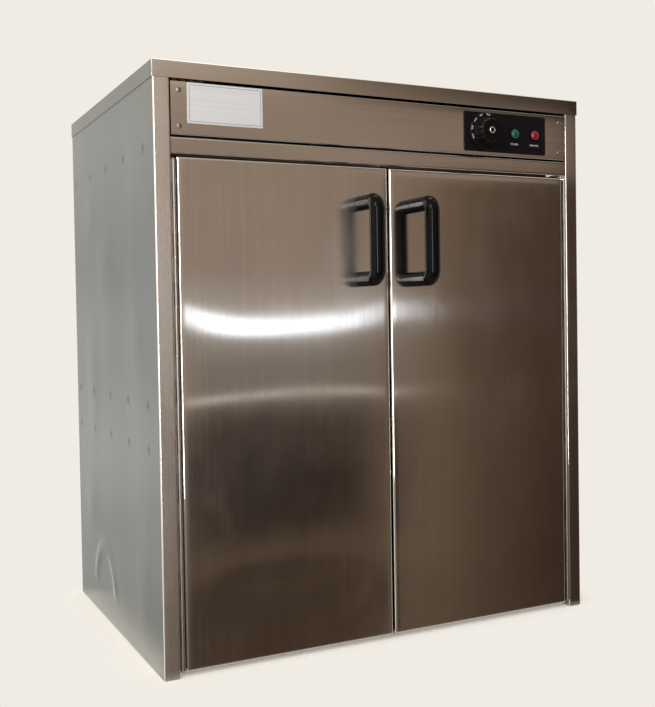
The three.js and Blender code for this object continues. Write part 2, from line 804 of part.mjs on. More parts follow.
// Heating element: one bent rod on a bracket, under a slotted guard on the chamber floor.
const guardFront = linerFront + guardInset;
const guardBack = linerBack - guardInset;
function heaterGuard() {
  const base = linerFloor + seatGap;
  const top = base + guardHeight;
  const halfWidth = betweenPosts - guardInset;
  const cover = foldAcross([
    [guardFront, base],
    [guardFront, top],
    [guardBack, top],
    [guardBack, base],
    [guardBack - sheet, base],
    [guardBack - sheet, top - sheet],
    [guardFront + sheet, top - sheet],
    [guardFront + sheet, base],
  ], halfWidth);
  const columns = Math.floor((2 * halfWidth - 2 * slotMargin - slotLength) / slotPitchX) + 1;
  const rows = Math.floor((guardBack - guardFront - 2 * slotMargin - slotWidth) / slotPitchY) + 1;
  const slots = [];
  for (let i = 0; i < columns; i += 1) {
    for (let j = 0; j < rows; j += 1) {
      const x = (i - (columns - 1) / 2) * slotPitchX;
      const y = (guardFront + guardBack) / 2 + (j - (rows - 1) / 2) * slotPitchY;
      slots.push(block(
        x - slotLength / 2, x + slotLength / 2,
        y - slotWidth / 2, y + slotWidth / 2,
        top - 2 * sheet, top + sheet,
      ));
    }
  }
  const tailHoles = elementHoles(elementRadius + elementClearance, guardBack - 2 * sheet, guardBack + sheet);
  return cut(cover, ...slots, ...tailHoles);
}
addPiece(cabinet, 'heater_guard', heaterGuard(), linerSteel);

function heatingElement() {
  const near = guardFront + elementInset;
  const far = guardBack - elementInset;
  const tail = woolFront + elementTail;
  const corners = [];
  for (let run = 0; run < elementRuns; run += 1) {
    const x = elementOuter - run * elementPitch;
    const arrives = run === 0 ? tail : far;
    const leaves = run === elementRuns - 1 ? tail : far;
    const forwards = run % 2 === 0;
    corners.push(point(x, forwards ? arrives : near, elementZ));
    corners.push(point(x, forwards ? near : leaves, elementZ));
  }
  return bentTube(corners, elementRadius, elementBend, 8, 6);
}
addPiece(cabinet, 'heating_element', heatingElement(), darkElement);

const bracketY = (guardFront + guardBack) / 2;
addPiece(cabinet, 'heater_bracket', block(
  -elementOuter - elementBend, elementOuter + elementBend,
  bracketY - sheet / 2, bracketY + sheet / 2,
  linerFloor + seatGap, elementZ - elementRadius - seatGap,
), linerSteel);

// Doors: local x = 0, y = 0 is the hinge axis, on the front face midway in the gap to the post.
function addDoor(side, sideName) {
  const door = new THREE.Group();
  door.position.set(side * hingeX, frontY, 0);
  cabinet.add(door);
  const inward = -side;
  const near = hingeGap / 2;
  const far = hingeX - doorMeetingGap / 2;
  const inset = sheet + seatGap;

  const blank = block(inward * near, inward * far, 0, doorThickness, doorFloorGap, doorTop);
  const hollow = block(
    inward * (near + sheet), inward * (far - sheet),
    sheet, 2 * doorThickness,
    doorFloorGap + sheet, doorTop - sheet,
  );
  addPiece(door, `${sideName}_door_skin`, cut(blank, hollow), brushedSteel);

  addPiece(door, `${sideName}_door_inner`, block(
    inward * (near + inset), inward * (far - inset),
    doorThickness - sheet, doorThickness,
    doorFloorGap + inset, doorTop - inset,
  ), linerSteel);

  addPiece(door, `${sideName}_door_insulation`, block(
    inward * (near + inset), inward * (far - inset),
    inset, doorThickness - inset,
    doorFloorGap + inset, doorTop - inset,
  ), mineralWool);

  const gripX = inward * (far - handleFromMeeting);
  addPiece(door, `${sideName}_handle`, bentTube([
    point(gripX, -seatGap, handleHeight + handleCentres / 2),
    point(gripX, -handleReach, handleHeight + handleCentres / 2),
    point(gripX, -handleReach, handleHeight - handleCentres / 2),
    point(gripX, -seatGap, handleHeight - handleCentres / 2),
  ], handleRadius, handleBend, handleSides, 6), blackGloss);

  const strikeX = inward * (far - strikeInset);
  addPiece(door, `${sideName}_strike_plate`, block(
    strikeX, strikeX - inward * strikeWidth,
    doorThickness + seatGap, doorThickness + seatGap + strikeThickness,
    catchMiddle - strikeHeight / 2, catchMiddle + strikeHeight / 2,
  ), brightWire);

  addPiece(door, `${sideName}_hinge_door_leaf`, hingeLeaf(inward, 1), sideSteel);
  addPiece(door, `${sideName}_hinge_frame_leaf`, hingeLeaf(side, 0), sideSteel);
  const pinFoot = doorFloorGap + hingeEndInset;
  const pinHead = doorTop - hingeEndInset;
  addPiece(door, `${sideName}_hinge_pin`, barAlongZ(pinRadius, pinFoot, pinHead, barrelSides), sideSteel);
}

// One leaf of a continuous hinge, reaching towards its plate in the given x direction. The
// frame leaf takes the even knuckles and both ends, the door leaf the odd knuckles.
function hingeLeaf(towards, firstKnuckle) {
  const foot = doorFloorGap + hingeEndInset;
  const length = doorHeight - 2 * hingeEndInset;
  const knuckles = 2 * Math.floor(length / (2 * knuckleLength)) + 1;
  const pitch = length / knuckles;
  const plateOuter = hingeGap / 2 - seatGap;
  const plateInner = plateOuter - leafThickness;
  const tangent = barrelRadius - webThickness;
  const plate = block(towards * plateInner, towards * plateOuter, tangent, leafWidth, foot, foot + length);
  const shapes = [plate];
  for (let i = firstKnuckle; i < knuckles; i += 2) {
    const z0 = foot + i * pitch + knuckleGap / 2;
    const z1 = foot + (i + 1) * pitch - knuckleGap / 2;
    shapes.push(barAlongZ(barrelRadius, z0, z1, barrelSides));
    shapes.push(block(0, towards * (plateInner + leafThickness / 2), tangent, barrelRadius, z0, z1));
  }
  const bore = barAlongZ(pinRadius + pinClearance, foot - sheet, foot + length + sheet, barrelSides);
  return cut(join(...shapes), bore);
}

// One double catch at the middle of the rail's lip serves both doors.
const catchTop = lipBottom - seatGap;
const catchMiddle = catchTop - catchHeight / 2;
function doubleCatch() {
  const halfWidth = doorMeetingGap / 2 + strikeInset + strikeWidth + catchOverlap;
  const behindLip = stopY + sheet + seatGap;
  const nose = block(
    -halfWidth, halfWidth,
    stopY - catchNose, behindLip + catchDepth,
    catchTop - catchHeight, catchTop,
  );
  const carrier = block(
    -halfWidth, halfWidth,
    behindLip, behindLip + catchDepth,
    catchTop - catchHeight / 2, catchTop + catchRise,
  );
  return join(nose, carrier);
}
addPiece(cabinet, 'double_magnet_catch', doubleCatch(), blackPlate);

addDoor(-1, 'left');
addDoor(1, 'right');

export default cabinet;
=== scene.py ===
import json
from math import cos, exp, pi, radians, sin, tan
import bmesh
import bpy
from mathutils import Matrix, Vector

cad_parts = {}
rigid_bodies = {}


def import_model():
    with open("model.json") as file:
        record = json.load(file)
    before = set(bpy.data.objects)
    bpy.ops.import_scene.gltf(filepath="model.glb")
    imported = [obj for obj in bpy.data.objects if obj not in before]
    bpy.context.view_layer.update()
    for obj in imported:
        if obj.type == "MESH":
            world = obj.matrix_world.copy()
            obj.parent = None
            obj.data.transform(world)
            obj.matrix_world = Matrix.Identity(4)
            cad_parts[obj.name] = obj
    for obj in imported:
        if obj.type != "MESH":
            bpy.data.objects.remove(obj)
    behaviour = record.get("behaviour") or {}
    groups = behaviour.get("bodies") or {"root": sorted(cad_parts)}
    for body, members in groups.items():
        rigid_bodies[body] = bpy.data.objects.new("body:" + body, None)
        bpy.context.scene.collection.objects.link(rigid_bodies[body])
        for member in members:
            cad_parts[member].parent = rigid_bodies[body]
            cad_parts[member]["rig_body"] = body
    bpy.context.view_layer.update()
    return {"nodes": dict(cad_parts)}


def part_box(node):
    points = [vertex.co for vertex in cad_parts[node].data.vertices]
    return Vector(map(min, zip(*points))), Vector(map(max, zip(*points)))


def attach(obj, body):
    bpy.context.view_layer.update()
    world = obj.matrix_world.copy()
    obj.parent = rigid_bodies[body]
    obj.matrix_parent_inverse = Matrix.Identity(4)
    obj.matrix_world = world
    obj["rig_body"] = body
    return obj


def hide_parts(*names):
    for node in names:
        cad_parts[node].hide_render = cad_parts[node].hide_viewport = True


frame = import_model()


# Side panels. Each is one sheet of dull stainless steel, folded round the front into the post
# and flanged at the back and the foot. Rows of spot welds and shallow dents show on the skin.

def close_mesh():
    bpy.ops.object.mode_set(mode="OBJECT")


def drop_selection():
    if bpy.context.mode != "OBJECT":
        close_mesh()
    bpy.ops.object.select_all(action="DESELECT")


def take_up(piece):
    drop_selection()
    piece.select_set(True)
    bpy.context.view_layer.objects.active = piece


def placed(name, size=None):
    """Names the piece just added, and settles its size and place into its mesh."""
    piece = bpy.context.object
    piece.name = piece.data.name = name
    if size is not None:
        piece.scale = size
    bpy.ops.object.transform_apply(location=True, rotation=True, scale=True)
    return piece


def middle_of(node):
    low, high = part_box(node)
    return (low + high) / 2


def near(a, b):
    return abs(a - b) < 3e-5


def lie_at(a, b, **places):
    """Whether both ends of an edge lie at the places given for some axes."""
    return all(near(getattr(end, axis), place) for end in (a, b) for axis, place in places.items())


def open_mesh(kind, action="SELECT"):
    """Opens the active piece's mesh with all of its edges or faces selected, or none of them."""
    bpy.ops.object.mode_set(mode="EDIT")
    bpy.ops.mesh.select_mode(type=kind)
    bpy.ops.mesh.select_all(action=action)


def lay_sheet(name, low, high, facing, cuts):
    drop_selection()
    low, high = Vector(low), Vector(high)
    size = high - low
    turned, across, along = {
        "front": ((pi / 2, 0, 0), size.x, size.z),
        "left": ((pi / 2, 0, -pi / 2), size.y, size.z),
        "right": ((pi / 2, 0, pi / 2), size.y, size.z),
        "up": ((0, 0, 0), size.x, size.y),
    }[facing]
    bpy.ops.mesh.primitive_grid_add(x_subdivisions=cuts[0], y_subdivisions=cuts[1], size=1,
                                    location=(low + high) / 2, rotation=turned)
    return placed(name, (across, along, 1))


def pick_edges(wanted):
    open_mesh("EDGE", "DESELECT")
    mesh = bmesh.from_edit_mesh(bpy.context.object.data)
    for edge in mesh.edges:
        if wanted(edge.verts[0].co, edge.verts[1].co):
            edge.select_set(True)
    bmesh.update_edit_mesh(bpy.context.object.data)


def pull(x=0, y=0, z=0):
    bpy.ops.mesh.extrude_region_move(TRANSFORM_OT_translate={"value": (x, y, z)})


def round_over(radius, steps=4):
    bpy.ops.mesh.bevel(offset=radius, offset_type="OFFSET", segments=steps, affect="EDGES")


def apply_all(piece):
    take_up(piece)
    for modifier in list(piece.modifiers):
        bpy.ops.object.modifier_apply(modifier=modifier.name)


def thicken(piece):
    close_mesh()
    wall = piece.modifiers.new("gauge", "SOLIDIFY")
    wall.thickness = gauge
    wall.offset = -1
    wall.use_even_offset = True
    apply_all(piece)


def press(piece, flat, way, centre, reach, depth):
    """Pushes the flat skin along way by a soft dent; flat says which points lie on the skin."""
    for point in piece.data.vertices:
        if flat(point.co):
            away = point.co - Vector(centre)
            spread = sum((away[i] / reach[i]) ** 2 for i in range(3) if reach[i])
            point.co += Vector(way) * depth * exp(-spread)


def add(tree, kind, values=None, **settings):
    node = tree.nodes.new(kind)
    for key, value in settings.items():
        setattr(node, key, value)
    for key, value in (values or {}).items():
        node.inputs[key].default_value = value
    return node


def join_up(*pairs):
    for start, end in pairs:
        end.id_data.links.new(start, end)


def tree_of(*parts):
    """The node tree that holds the first output among some outputs, numbers and colours."""
    return next(part.id_data for part in parts if isinstance(part, bpy.types.NodeSocket))


def feed(socket, part):
    """Joins an output to a socket, or sets the socket to a colour or a number."""
    if isinstance(part, bpy.types.NodeSocket):
        join_up((part, socket))
    else:
        socket.default_value = (*part, 1) if isinstance(part, tuple) else part


def reckon(operation, *terms):
    """A sum on node outputs and plain numbers, in the order given."""
    step = add(tree_of(*terms), "ShaderNodeMath", operation=operation)
    for socket, term in zip(step.inputs, terms):
        feed(socket, term)
    return step.outputs[0]


def sum_of(first, *others):
    for term in others:
        first = reckon("ADD", first, term)
    return first


def product_of(first, second):
    return reckon("MULTIPLY", first, second)


def distance_to(value, middle):
    return reckon("ABSOLUTE", reckon("SUBTRACT", value, middle))


def mix_colours(share, first, second, **settings):
    """One colour where share is 0 and the other where it is 1; each is an output or three numbers."""
    mixed = add(tree_of(share, first, second), "ShaderNodeMix", data_type="RGBA", **settings)
    # The node keeps its colour inputs after those for numbers and vectors.
    for socket, part in ((0, share), (6, first), (7, second)):
        feed(mixed.inputs[socket], part)
    return mixed.outputs[2]


def spread_range(value, low, high, start=0.3, end=0.7):
    """Stretches start to end over low to high; nearly all of a noise lies from 0.3 to 0.7."""
    spread = add(value.id_data, "ShaderNodeMapRange", {"From Min": start, "From Max": end,
                                                       "To Min": low, "To Max": high})
    join_up((value, spread.inputs["Value"]))
    return spread.outputs["Result"]


def noise(place, scale, detail=2.0, roughness=0.5, stretch=(1, 1, 1), offset=(0, 0, 0)):
    tree = place.id_data
    shift = add(tree, "ShaderNodeMapping", {"Scale": stretch, "Location": offset})
    cloud = add(tree, "ShaderNodeTexNoise", {"Scale": scale, "Detail": detail, "Roughness": roughness})
    join_up((place, shift.inputs["Vector"]), (shift.outputs[0], cloud.inputs["Vector"]))
    return cloud.outputs["Fac"]


def new_group(name, outputs):
    group = bpy.data.node_groups.new(name, "ShaderNodeTree")
    group.interface.new_socket(name="Place", in_out="INPUT", socket_type="NodeSocketVector")
    for output in outputs:
        group.interface.new_socket(name=output, in_out="OUTPUT", socket_type="NodeSocketFloat")
    return group, add(group, "NodeGroupInput").outputs["Place"], add(group, "NodeGroupOutput").inputs


# The polish left by the grinding belt: long streaks, hairlines, cloudy handling marks, and the
# odd long scratch. It runs along Z of the place that it is given.
belt_polish, place, out = new_group("belt_polish", ["Streak", "Hairline", "Cloud", "Scratch"])
scratch_lines = noise(place, 420, 1, 0.4, (1, 1, 0.03), (9, 4, 2))
join_up((noise(place, 170, 3, 0.6, (1, 1, 0.012)), out["Streak"]),
        (noise(place, 1500, 2, 0.6, (1, 1, 0.006)), out["Hairline"]),
        (noise(place, 5.5, 4, 0.55, (1, 1, 0.7), (3, 1, 7)), out["Cloud"]),
        (spread_range(scratch_lines, 0, 1, 0.70, 0.76), out["Scratch"]))


def lay_pattern(group, place):
    laid = add(place.id_data, "ShaderNodeGroup", node_tree=group)
    join_up((place, laid.inputs["Place"]))
    return laid.outputs


def finish_with(name, polish=None, turn=(0, 0, 0), metallic=1.0, **shader):
    """A material with its shader; polish is a pattern group laid along the turned place."""
    material = bpy.data.materials.new(name)
    material.use_nodes = True
    tree = material.node_tree
    surface = next(n for n in tree.nodes if n.type == "BSDF_PRINCIPLED")
    surface.inputs["Metallic"].default_value = metallic
    for key, value in shader.items():
        surface.inputs[key.replace("_", " ")].default_value = value
    turned = add(tree, "ShaderNodeMapping", {"Rotation": turn})
    join_up((add(tree, "ShaderNodeTexCoord").outputs["Object"], turned.inputs["Vector"]))
    place = turned.outputs[0]
    return material, surface, place, lay_pattern(polish, place) if polish else None


def coat(surface, colour, dullness):
    join_up((colour, surface.inputs["Base Color"]), (dullness, surface.inputs["Roughness"]))


def raise_by(surface, height, strength, distance):
    bump = add(surface.id_data, "ShaderNodeBump", {"Strength": strength, "Distance": distance})
    join_up((height, bump.inputs["Height"]), (bump.outputs[0], surface.inputs["Normal"]))


# Spot welds: three rows of small blued rings with a dimple in the middle.
spot_welds, place, out = new_group("spot_welds", ["Ring", "Dimple"])
weld_rows, weld_first, weld_pitch = (0.780, 0.398, 0.331), -0.212, 0.1135
parts = add(spot_welds, "ShaderNodeSeparateXYZ")
join_up((place, parts.inputs[0]))
run = reckon("SUBTRACT", parts.outputs["Y"], weld_first - weld_pitch / 2)
run = reckon("FLOORED_MODULO", run, weld_pitch)
aside = reckon("SUBTRACT", run, weld_pitch / 2)
above = distance_to(parts.outputs["Z"], weld_rows[0])
for height in weld_rows[1:]:
    above = reckon("MINIMUM", above, distance_to(parts.outputs["Z"], height))
from_weld = add(spot_welds, "ShaderNodeCombineXYZ")
length = add(spot_welds, "ShaderNodeVectorMath", operation="LENGTH")
join_up((aside, from_weld.inputs["X"]), (above, from_weld.inputs["Y"]),
        (from_weld.outputs[0], length.inputs[0]))
radius = length.outputs["Value"]
ragged = spread_range(noise(place, 160, 2), -0.003, 0.003, 0, 1)
join_up((spread_range(sum_of(radius, ragged), 1, 0, 0.002, 0.0105), out["Ring"]),
        (spread_range(radius, 1, 0, 0.0015, 0.0045), out["Dimple"]))

dull_steel, surface, place, polish = finish_with("dull_steel", belt_polish)
welds = lay_pattern(spot_welds, place)
grimy = noise(place, 14, 5, 0.65, (1, 1, 0.45), (2, 8, 1))
tone = mix_colours(sum_of(spread_range(polish["Cloud"], 0, 0.85, 0.25, 0.75),
                          spread_range(polish["Streak"], 0, 0.15)),
                   (0.372, 0.374, 0.358), (0.440, 0.442, 0.420))
marks = sum_of(product_of(welds["Ring"], 0.85), spread_range(grimy, 0, 0.14, 0.5, 0.8))
scuffs = noise(place, 60, 4, 0.7, (1, 1, 0.2), (4, 4, 4))
coat(surface, mix_colours(marks, tone, (0.17, 0.17, 0.175)),
     sum_of(spread_range(polish["Hairline"], 0.17, 0.21),
            spread_range(polish["Cloud"], -0.03, 0.05), spread_range(scuffs, 0, 0.08, 0.5, 0.8)))
raise_by(surface, sum_of(product_of(polish["Hairline"], 0.08),
                         product_of(welds["Dimple"], -1.0)), 0.35, 0.0004)


def polished_steel(name, turn, spread, cross_grain, fine=0.085, coarse=0.125, thumbed=None):
    """Belt-polished steel for the fronts. Thumbed is a hazier patch: its middle in X and Z, how far it
    reaches across and up, and the roughness that it adds."""
    material, surface, place, polish = finish_with(name, belt_polish, turn, Anisotropic=spread,
                                                   Anisotropic_Rotation=cross_grain)
    tree = surface.id_data
    join_up((add(tree, "ShaderNodeTangent", direction_type="UV_MAP").outputs[0], surface.inputs["Tangent"]))
    handled = noise(place, 18, 5, 0.65, (1, 1, 0.6), (5, 2, 6))
    tone = mix_colours(sum_of(spread_range(polish["Streak"], 0, 0.5, 0.28, 0.72),
                              spread_range(polish["Cloud"], 0, 0.5)),
                       (0.500, 0.470, 0.435), (0.575, 0.540, 0.500))
    dullness = sum_of(spread_range(polish["Hairline"], fine, coarse),
                      spread_range(polish["Cloud"], -0.015, 0.02),
                      spread_range(handled, 0, 0.03, 0.5, 0.85))
    if thumbed:
        x, z, across, up, haze = thumbed
        shift = add(tree, "ShaderNodeMapping", {"Location": (-x / across, 0, -z / up),
                                                "Scale": (1 / across, 0, 1 / up)})
        reach = add(tree, "ShaderNodeVectorMath", operation="LENGTH")
        join_up((place, shift.inputs["Vector"]), (shift.outputs[0], reach.inputs[0]))
        dullness = sum_of(dullness, spread_range(reach.outputs["Value"], haze, 0, 0.3, 1.0))
    scratched = mix_colours(product_of(polish["Scratch"], 0.10), tone, (0.68, 0.655, 0.62))
    coat(surface, scratched, dullness)
    raise_by(surface, polish["Hairline"], 0.12, 0.00005)
    return material


# The doors and the right post have the finest polish, and the left post a coarser one.
upright_run, level_run = (0, 0, 0), (0, pi / 2, 0)
door_grain = (0.95, 0.0, 0.074, 0.100)
upright_polish = polished_steel("upright_polish", upright_run, *door_grain)
post_polish = polished_steel("post_polish", upright_run, 0.3, 0.0, 0.25, 0.30)


def settle(piece, body, slot, finish, *nodes, crease=32):
    """Gives a modelled piece its smooth faces, map and finish, and fixes it to its body."""
    take_up(piece)
    bpy.ops.object.shade_smooth_by_angle(angle=radians(crease))
    level = piece.modifiers.new("level", "WEIGHTED_NORMAL")
    level.keep_sharp = True
    apply_all(piece)
    open_mesh("FACE")
    bpy.ops.uv.cube_project(cube_size=1.0)
    close_mesh()
    piece.data.materials.clear()
    piece.data.materials.append(finish)
    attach(piece, body)
    if nodes:
        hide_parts(*nodes)
    return piece


def finish_faces(piece, finish, wanted):
    """Gives the wanted faces of a settled piece a second finish."""
    piece.data.materials.append(finish)
    for face in piece.data.polygons:
        if wanted(face):
            face.material_index = 1


gauge, fold_radius = 0.0012, 0.0022
post_face, post_return, back_flange, foot_flange = 0.025, 0.042, 0.020, 0.022
flange_clearance, skin_margin, skin_slack = 0.01, 0.02, 0.004
# Each dent: its middle in Y and Z, how far it reaches across and up, and its depth inwards.
side_dents = ((0.07, 0.07, 0.05, 0.05, 0.0007), (0.03, 0.57, 0.06, 0.11, -0.0014),
              (-0.10, 0.30, 0.06, 0.12, 0.0006), (0.14, 0.42, 0.04, 0.12, -0.0016),
              (-0.06, 0.74, 0.08, 0.05, 0.0006), (0.13, 0.70, 0.05, 0.05, -0.0010),
              (0.17, 0.20, 0.04, 0.06, -0.0012), (-0.17, 0.12, 0.04, 0.07, -0.0010),
              (-0.15, 0.55, 0.03, 0.16, -0.0009))
# A crescent knocked outwards low on the panel.
knock_y, knock_z, knock_width, knock_height = 0.075, 0.045, 0.068, 0.080
knock_rise, knock_sharpness = 0.0020, 0.15


def side_panel(side, facing, node):
    low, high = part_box(node)
    skin = high.x if side > 0 else low.x
    front, rear = low.y, high.y
    panel = lay_sheet(f"{facing}_side_skin", (skin, front, 0), (skin, rear, high.z), facing, (72, 120))
    pick_edges(lambda a, b: lie_at(a, b, y=front))
    pull(x=-side * post_face)
    pull(y=post_return)
    pick_edges(lambda a, b: lie_at(a, b, y=rear))
    pull(x=-side * back_flange)
    pick_edges(lambda a, b: lie_at(a, b, x=skin, z=0) and all(
        front + flange_clearance < end.y < rear - flange_clearance for end in (a, b)))
    pull(x=-side * foot_flange)
    pick_edges(lambda a, b: (lie_at(a, b, y=front) and near(a.x, b.x)) or lie_at(a, b, x=skin, y=rear))
    round_over(fold_radius)
    close_mesh()

    def on_skin(co):
        return (abs(co.x - skin) < skin_slack and front + skin_margin < co.y < rear - skin_margin
                and co.z > skin_margin)

    for y, z, across, up, depth in side_dents:
        press(panel, on_skin, (-side, 0, 0), (skin, y, z), (0, across, up), depth)
    for point in panel.data.vertices:
        away = Vector(((point.co.y - knock_y) / knock_width, (point.co.z - knock_z) / knock_height))
        if on_skin(point.co) and away.y > 0:
            rim = exp(-((away.length - 1) / knock_sharpness) ** 2)
            point.co.x += side * knock_rise * rim * min(1.0, away.y * 3)
    thicken(panel)
    settle(panel, "cabinet", "side_steel", dull_steel, node)
    finish_faces(panel, post_polish if side < 0 else upright_polish,
                 lambda face: face.center.y < front + post_return and abs(face.normal.x) < 0.9)


side_panel(-1, "left", "left_side_panel")
side_panel(1, "right", "right_side_panel")


# Base tray and back panel. Plain pressed sheet in the same dull steel: the back is pierced for
# the vents and the cable gland and is held to the side flanges by pan-head screws.

def dress(finish, *names):
    for name in names:
        slots = frame["nodes"][name].data.materials
        slots.clear()
        slots.append(finish)


dress(dull_steel, "base_tray", "back_panel")


def turn_up(name, centre, rings, sides):
    """A turned piece along the front-back line: each ring is its radius and how far it stands forward."""
    drop_selection()
    x, y, z = centre
    bpy.ops.mesh.primitive_circle_add(vertices=sides, radius=rings[0][0], fill_type="NGON",
                                      location=(x, y - rings[0][1], z), rotation=(pi / 2, 0, 0))
    piece = placed(name)
    open_mesh("FACE")
    for (radius, forward), (last_radius, last_forward) in zip(rings[1:], rings):
        pull(y=last_forward - forward)
        if radius != last_radius:
            share = radius / last_radius
            bpy.ops.transform.resize(value=(share, 1, share), center_override=(x, y - forward, z))
    close_mesh()
    return piece


def cut_away(piece, *cutters):
    for cutter in cutters:
        away = piece.modifiers.new("cut", "BOOLEAN")
        away.operation = "DIFFERENCE"
        away.solver = "EXACT"
        away.object = cutter
    apply_all(piece)
    for cutter in cutters:
        bpy.data.objects.remove(cutter)


def rough_block(name, low, high):
    drop_selection()
    low, high = Vector(low), Vector(high)
    bpy.ops.mesh.primitive_cube_add(size=1, location=(low + high) / 2)
    return placed(name, high - low)


def copy_of(piece, name, move=(0, 0, 0)):
    twin = piece.copy()
    twin.data = piece.data.copy()
    bpy.context.scene.collection.objects.link(twin)
    take_up(twin)
    bpy.ops.transform.translate(value=move)
    return placed(name)


def face_back(piece, place):
    """Turns a piece made at the origin to face the back, and seats it at place."""
    take_up(piece)
    bpy.ops.transform.rotate(value=pi, orient_axis="Z", center_override=(0, 0, 0))
    bpy.ops.transform.translate(value=place)
    bpy.ops.object.transform_apply(location=True, rotation=True, scale=True)


hairline_relief = (0.15, 0.00005)
bright_plate, surface, place, polish = finish_with("bright_plate", belt_polish)
plating = noise(place, 900, 4, 0.6)
coat(surface, mix_colours(plating, (0.40, 0.39, 0.37), (0.58, 0.57, 0.55)),
     spread_range(noise(place, 380, 3, 0.6, offset=(1, 2, 3)), 0.22, 0.38))
raise_by(surface, polish["Hairline"], *hairline_relief)

screw_head, screw_rise, shank_radius, shank_length = 0.004, 0.002, 0.0019, 0.006
recess_arm, recess_bar, recess_depth = screw_head * 0.62, 0.00045, 0.0012


def pan_screw(name, centre):
    """A pan-head screw facing front with a cross recess, its seat at centre."""
    screw = turn_up(name, centre, [
        (shank_radius, -shank_length), (shank_radius, -0.0002), (screw_head, 0), (screw_head, 0.0005),
        (screw_head * 0.94, 0.0011), (screw_head * 0.78, 0.0016), (screw_head * 0.45, screw_rise),
        (screw_head * 0.1, screw_rise)], 24)
    x, y, z = centre
    face, floor = y - screw_rise - 0.001, y - screw_rise + recess_depth
    cut_away(screw, *(rough_block("recess", (x - across, face, z - up), (x + across, floor, z + up))
                      for across, up in ((recess_arm, recess_bar), (recess_bar, recess_arm))))
    return screw


back_low, back_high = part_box("back_panel")
screw_inset, proud = 0.011, 0.0001
screw_x, screw_rows = back_low.x + screw_inset, (0.06, 0.32, 0.58, 0.84)
first_back_screw = pan_screw("back_screw_1", (0, 0, 0))
face_back(first_back_screw, (screw_x, back_high.y + proud, screw_rows[0]))
other_places = [(0, height) for height in screw_rows[1:]] + [(-2 * screw_x, height) for height in screw_rows]
for number, (across, height) in enumerate(other_places, 3):
    settle(copy_of(first_back_screw, f"back_screw_{number}", (across, 0, height - screw_rows[0])),
           "cabinet", "bright_steel", bright_plate)
settle(first_back_screw, "cabinet", "bright_steel", bright_plate)


# Chamber liner with its insulation. Five plain stainless sheets form the heated box, backed by
# mineral wool slabs that stay hidden behind them.

def streaked_tone(polish, dark, light):
    return mix_colours(sum_of(spread_range(polish["Streak"], 0, 0.6),
                              spread_range(polish["Cloud"], 0, 0.4)), dark, light)


liner_steel, surface, place, polish = finish_with("liner_steel", belt_polish)
coat(surface, streaked_tone(polish, (0.42, 0.42, 0.41), (0.56, 0.56, 0.545)),
     sum_of(spread_range(polish["Hairline"], 0.26, 0.36),
            spread_range(polish["Scratch"], 0, 0.08, 0, 1)))
raise_by(surface, polish["Hairline"], 0.2, 0.0001)
dress(liner_steel, "liner_left", "liner_right", "liner_floor", "liner_ceiling", "liner_back",
      "left_door_inner", "right_door_inner")

mineral_wool, surface, place, _ = finish_with("mineral_wool", metallic=0.0, Roughness=0.95)
fibres = noise(place, 700, 5, 0.7, (1, 1, 0.15))
join_up((mix_colours(fibres, (0.36, 0.27, 0.10), (0.62, 0.50, 0.24)), surface.inputs["Base Color"]))
raise_by(surface, fibres, 0.8, 0.002)
dress(mineral_wool, "insulation_wrap", "insulation_floor", "insulation_ceiling",
      "left_door_insulation", "right_door_insulation")


# Heater. A sheathed element lies in bends on its bracket under a slotted guard, and the
# thermostat's copper bulb and capillary run up the back of the chamber.

def mottled(name, metallic, grain, tones, dullness, relief=None, **shader):
    """A finish in which one noise varies the tone, the roughness and, if asked, the relief."""
    material, surface, place, _ = finish_with(name, metallic=metallic, **shader)
    mottle = noise(place, *grain)
    coat(surface, mix_colours(mottle, *tones), spread_range(mottle, *dullness))
    if relief:
        raise_by(surface, mottle, *relief)
    return material


sheath_steel = mottled("sheath_steel", 0.85, (30, 4, 0.6), ((0.055, 0.050, 0.046), (0.16, 0.13, 0.11)),
                       (0.45, 0.7, 0, 1))
drawn_copper = mottled("drawn_copper", 1.0, (90, 4, 0.6), ((0.36, 0.17, 0.09), (0.62, 0.31, 0.17)),
                       (0.45, 0.22, 0, 1))
dress(sheath_steel, "heating_element")
dress(liner_steel, "heater_guard", "heater_bracket")
dress(drawn_copper, "sensor_capillary")


# Shelves. Bright round rod, a rectangular frame with a middle bar and thin wires welded across
# the top from front to back; each rests on two folded runners.

def bend_rod(name, corners, radius, sides, bend=0.0, steps=8, closed=False):
    """A round bar along the corners, with each corner turned on the bend radius."""
    drop_selection()
    corners = [Vector(corner) for corner in corners]
    way = (corners[1] - corners[0]).normalized()
    bpy.ops.mesh.primitive_circle_add(vertices=sides, radius=radius, fill_type="NOTHING", location=corners[0],
                                      rotation=way.to_track_quat("Z", "Y").to_euler())
    rod = placed(name)
    open_mesh("EDGE")
    if not closed:
        bpy.ops.mesh.edge_face_add()
        bpy.ops.mesh.select_all(action="SELECT")
    here = corners[0]
    for corner, following in zip(corners[1:], corners[2:]):
        onward = (following - corner).normalized()
        angle = way.angle(onward)
        tangent = corner - way * bend * tan(angle / 2)
        pull(*(tangent - here))
        axis = way.cross(onward).normalized()
        bpy.ops.mesh.spin(steps=steps, angle=angle, center=tangent + axis.cross(way) * bend, axis=-axis)
        here = corner + onward * bend * tan(angle / 2)
        way = onward
    pull(*(corners[-1] - here))
    bpy.ops.mesh.select_all(action="SELECT")
    bpy.ops.mesh.remove_doubles(threshold=1e-5)
    bpy.ops.mesh.normals_make_consistent(inside=False)
    close_mesh()
    return rod


def ease(piece, wanted, radius, steps=2):
    """Rounds over the wanted edges of a solid piece."""
    take_up(piece)
    pick_edges(wanted)
    round_over(radius, steps)
    close_mesh()


def repeat(piece, pitch, count):
    row = piece.modifiers.new("row", "ARRAY")
    row.use_relative_offset = False
    row.use_constant_offset = True
    row.constant_offset_displace = pitch
    row.count = count
    apply_all(piece)


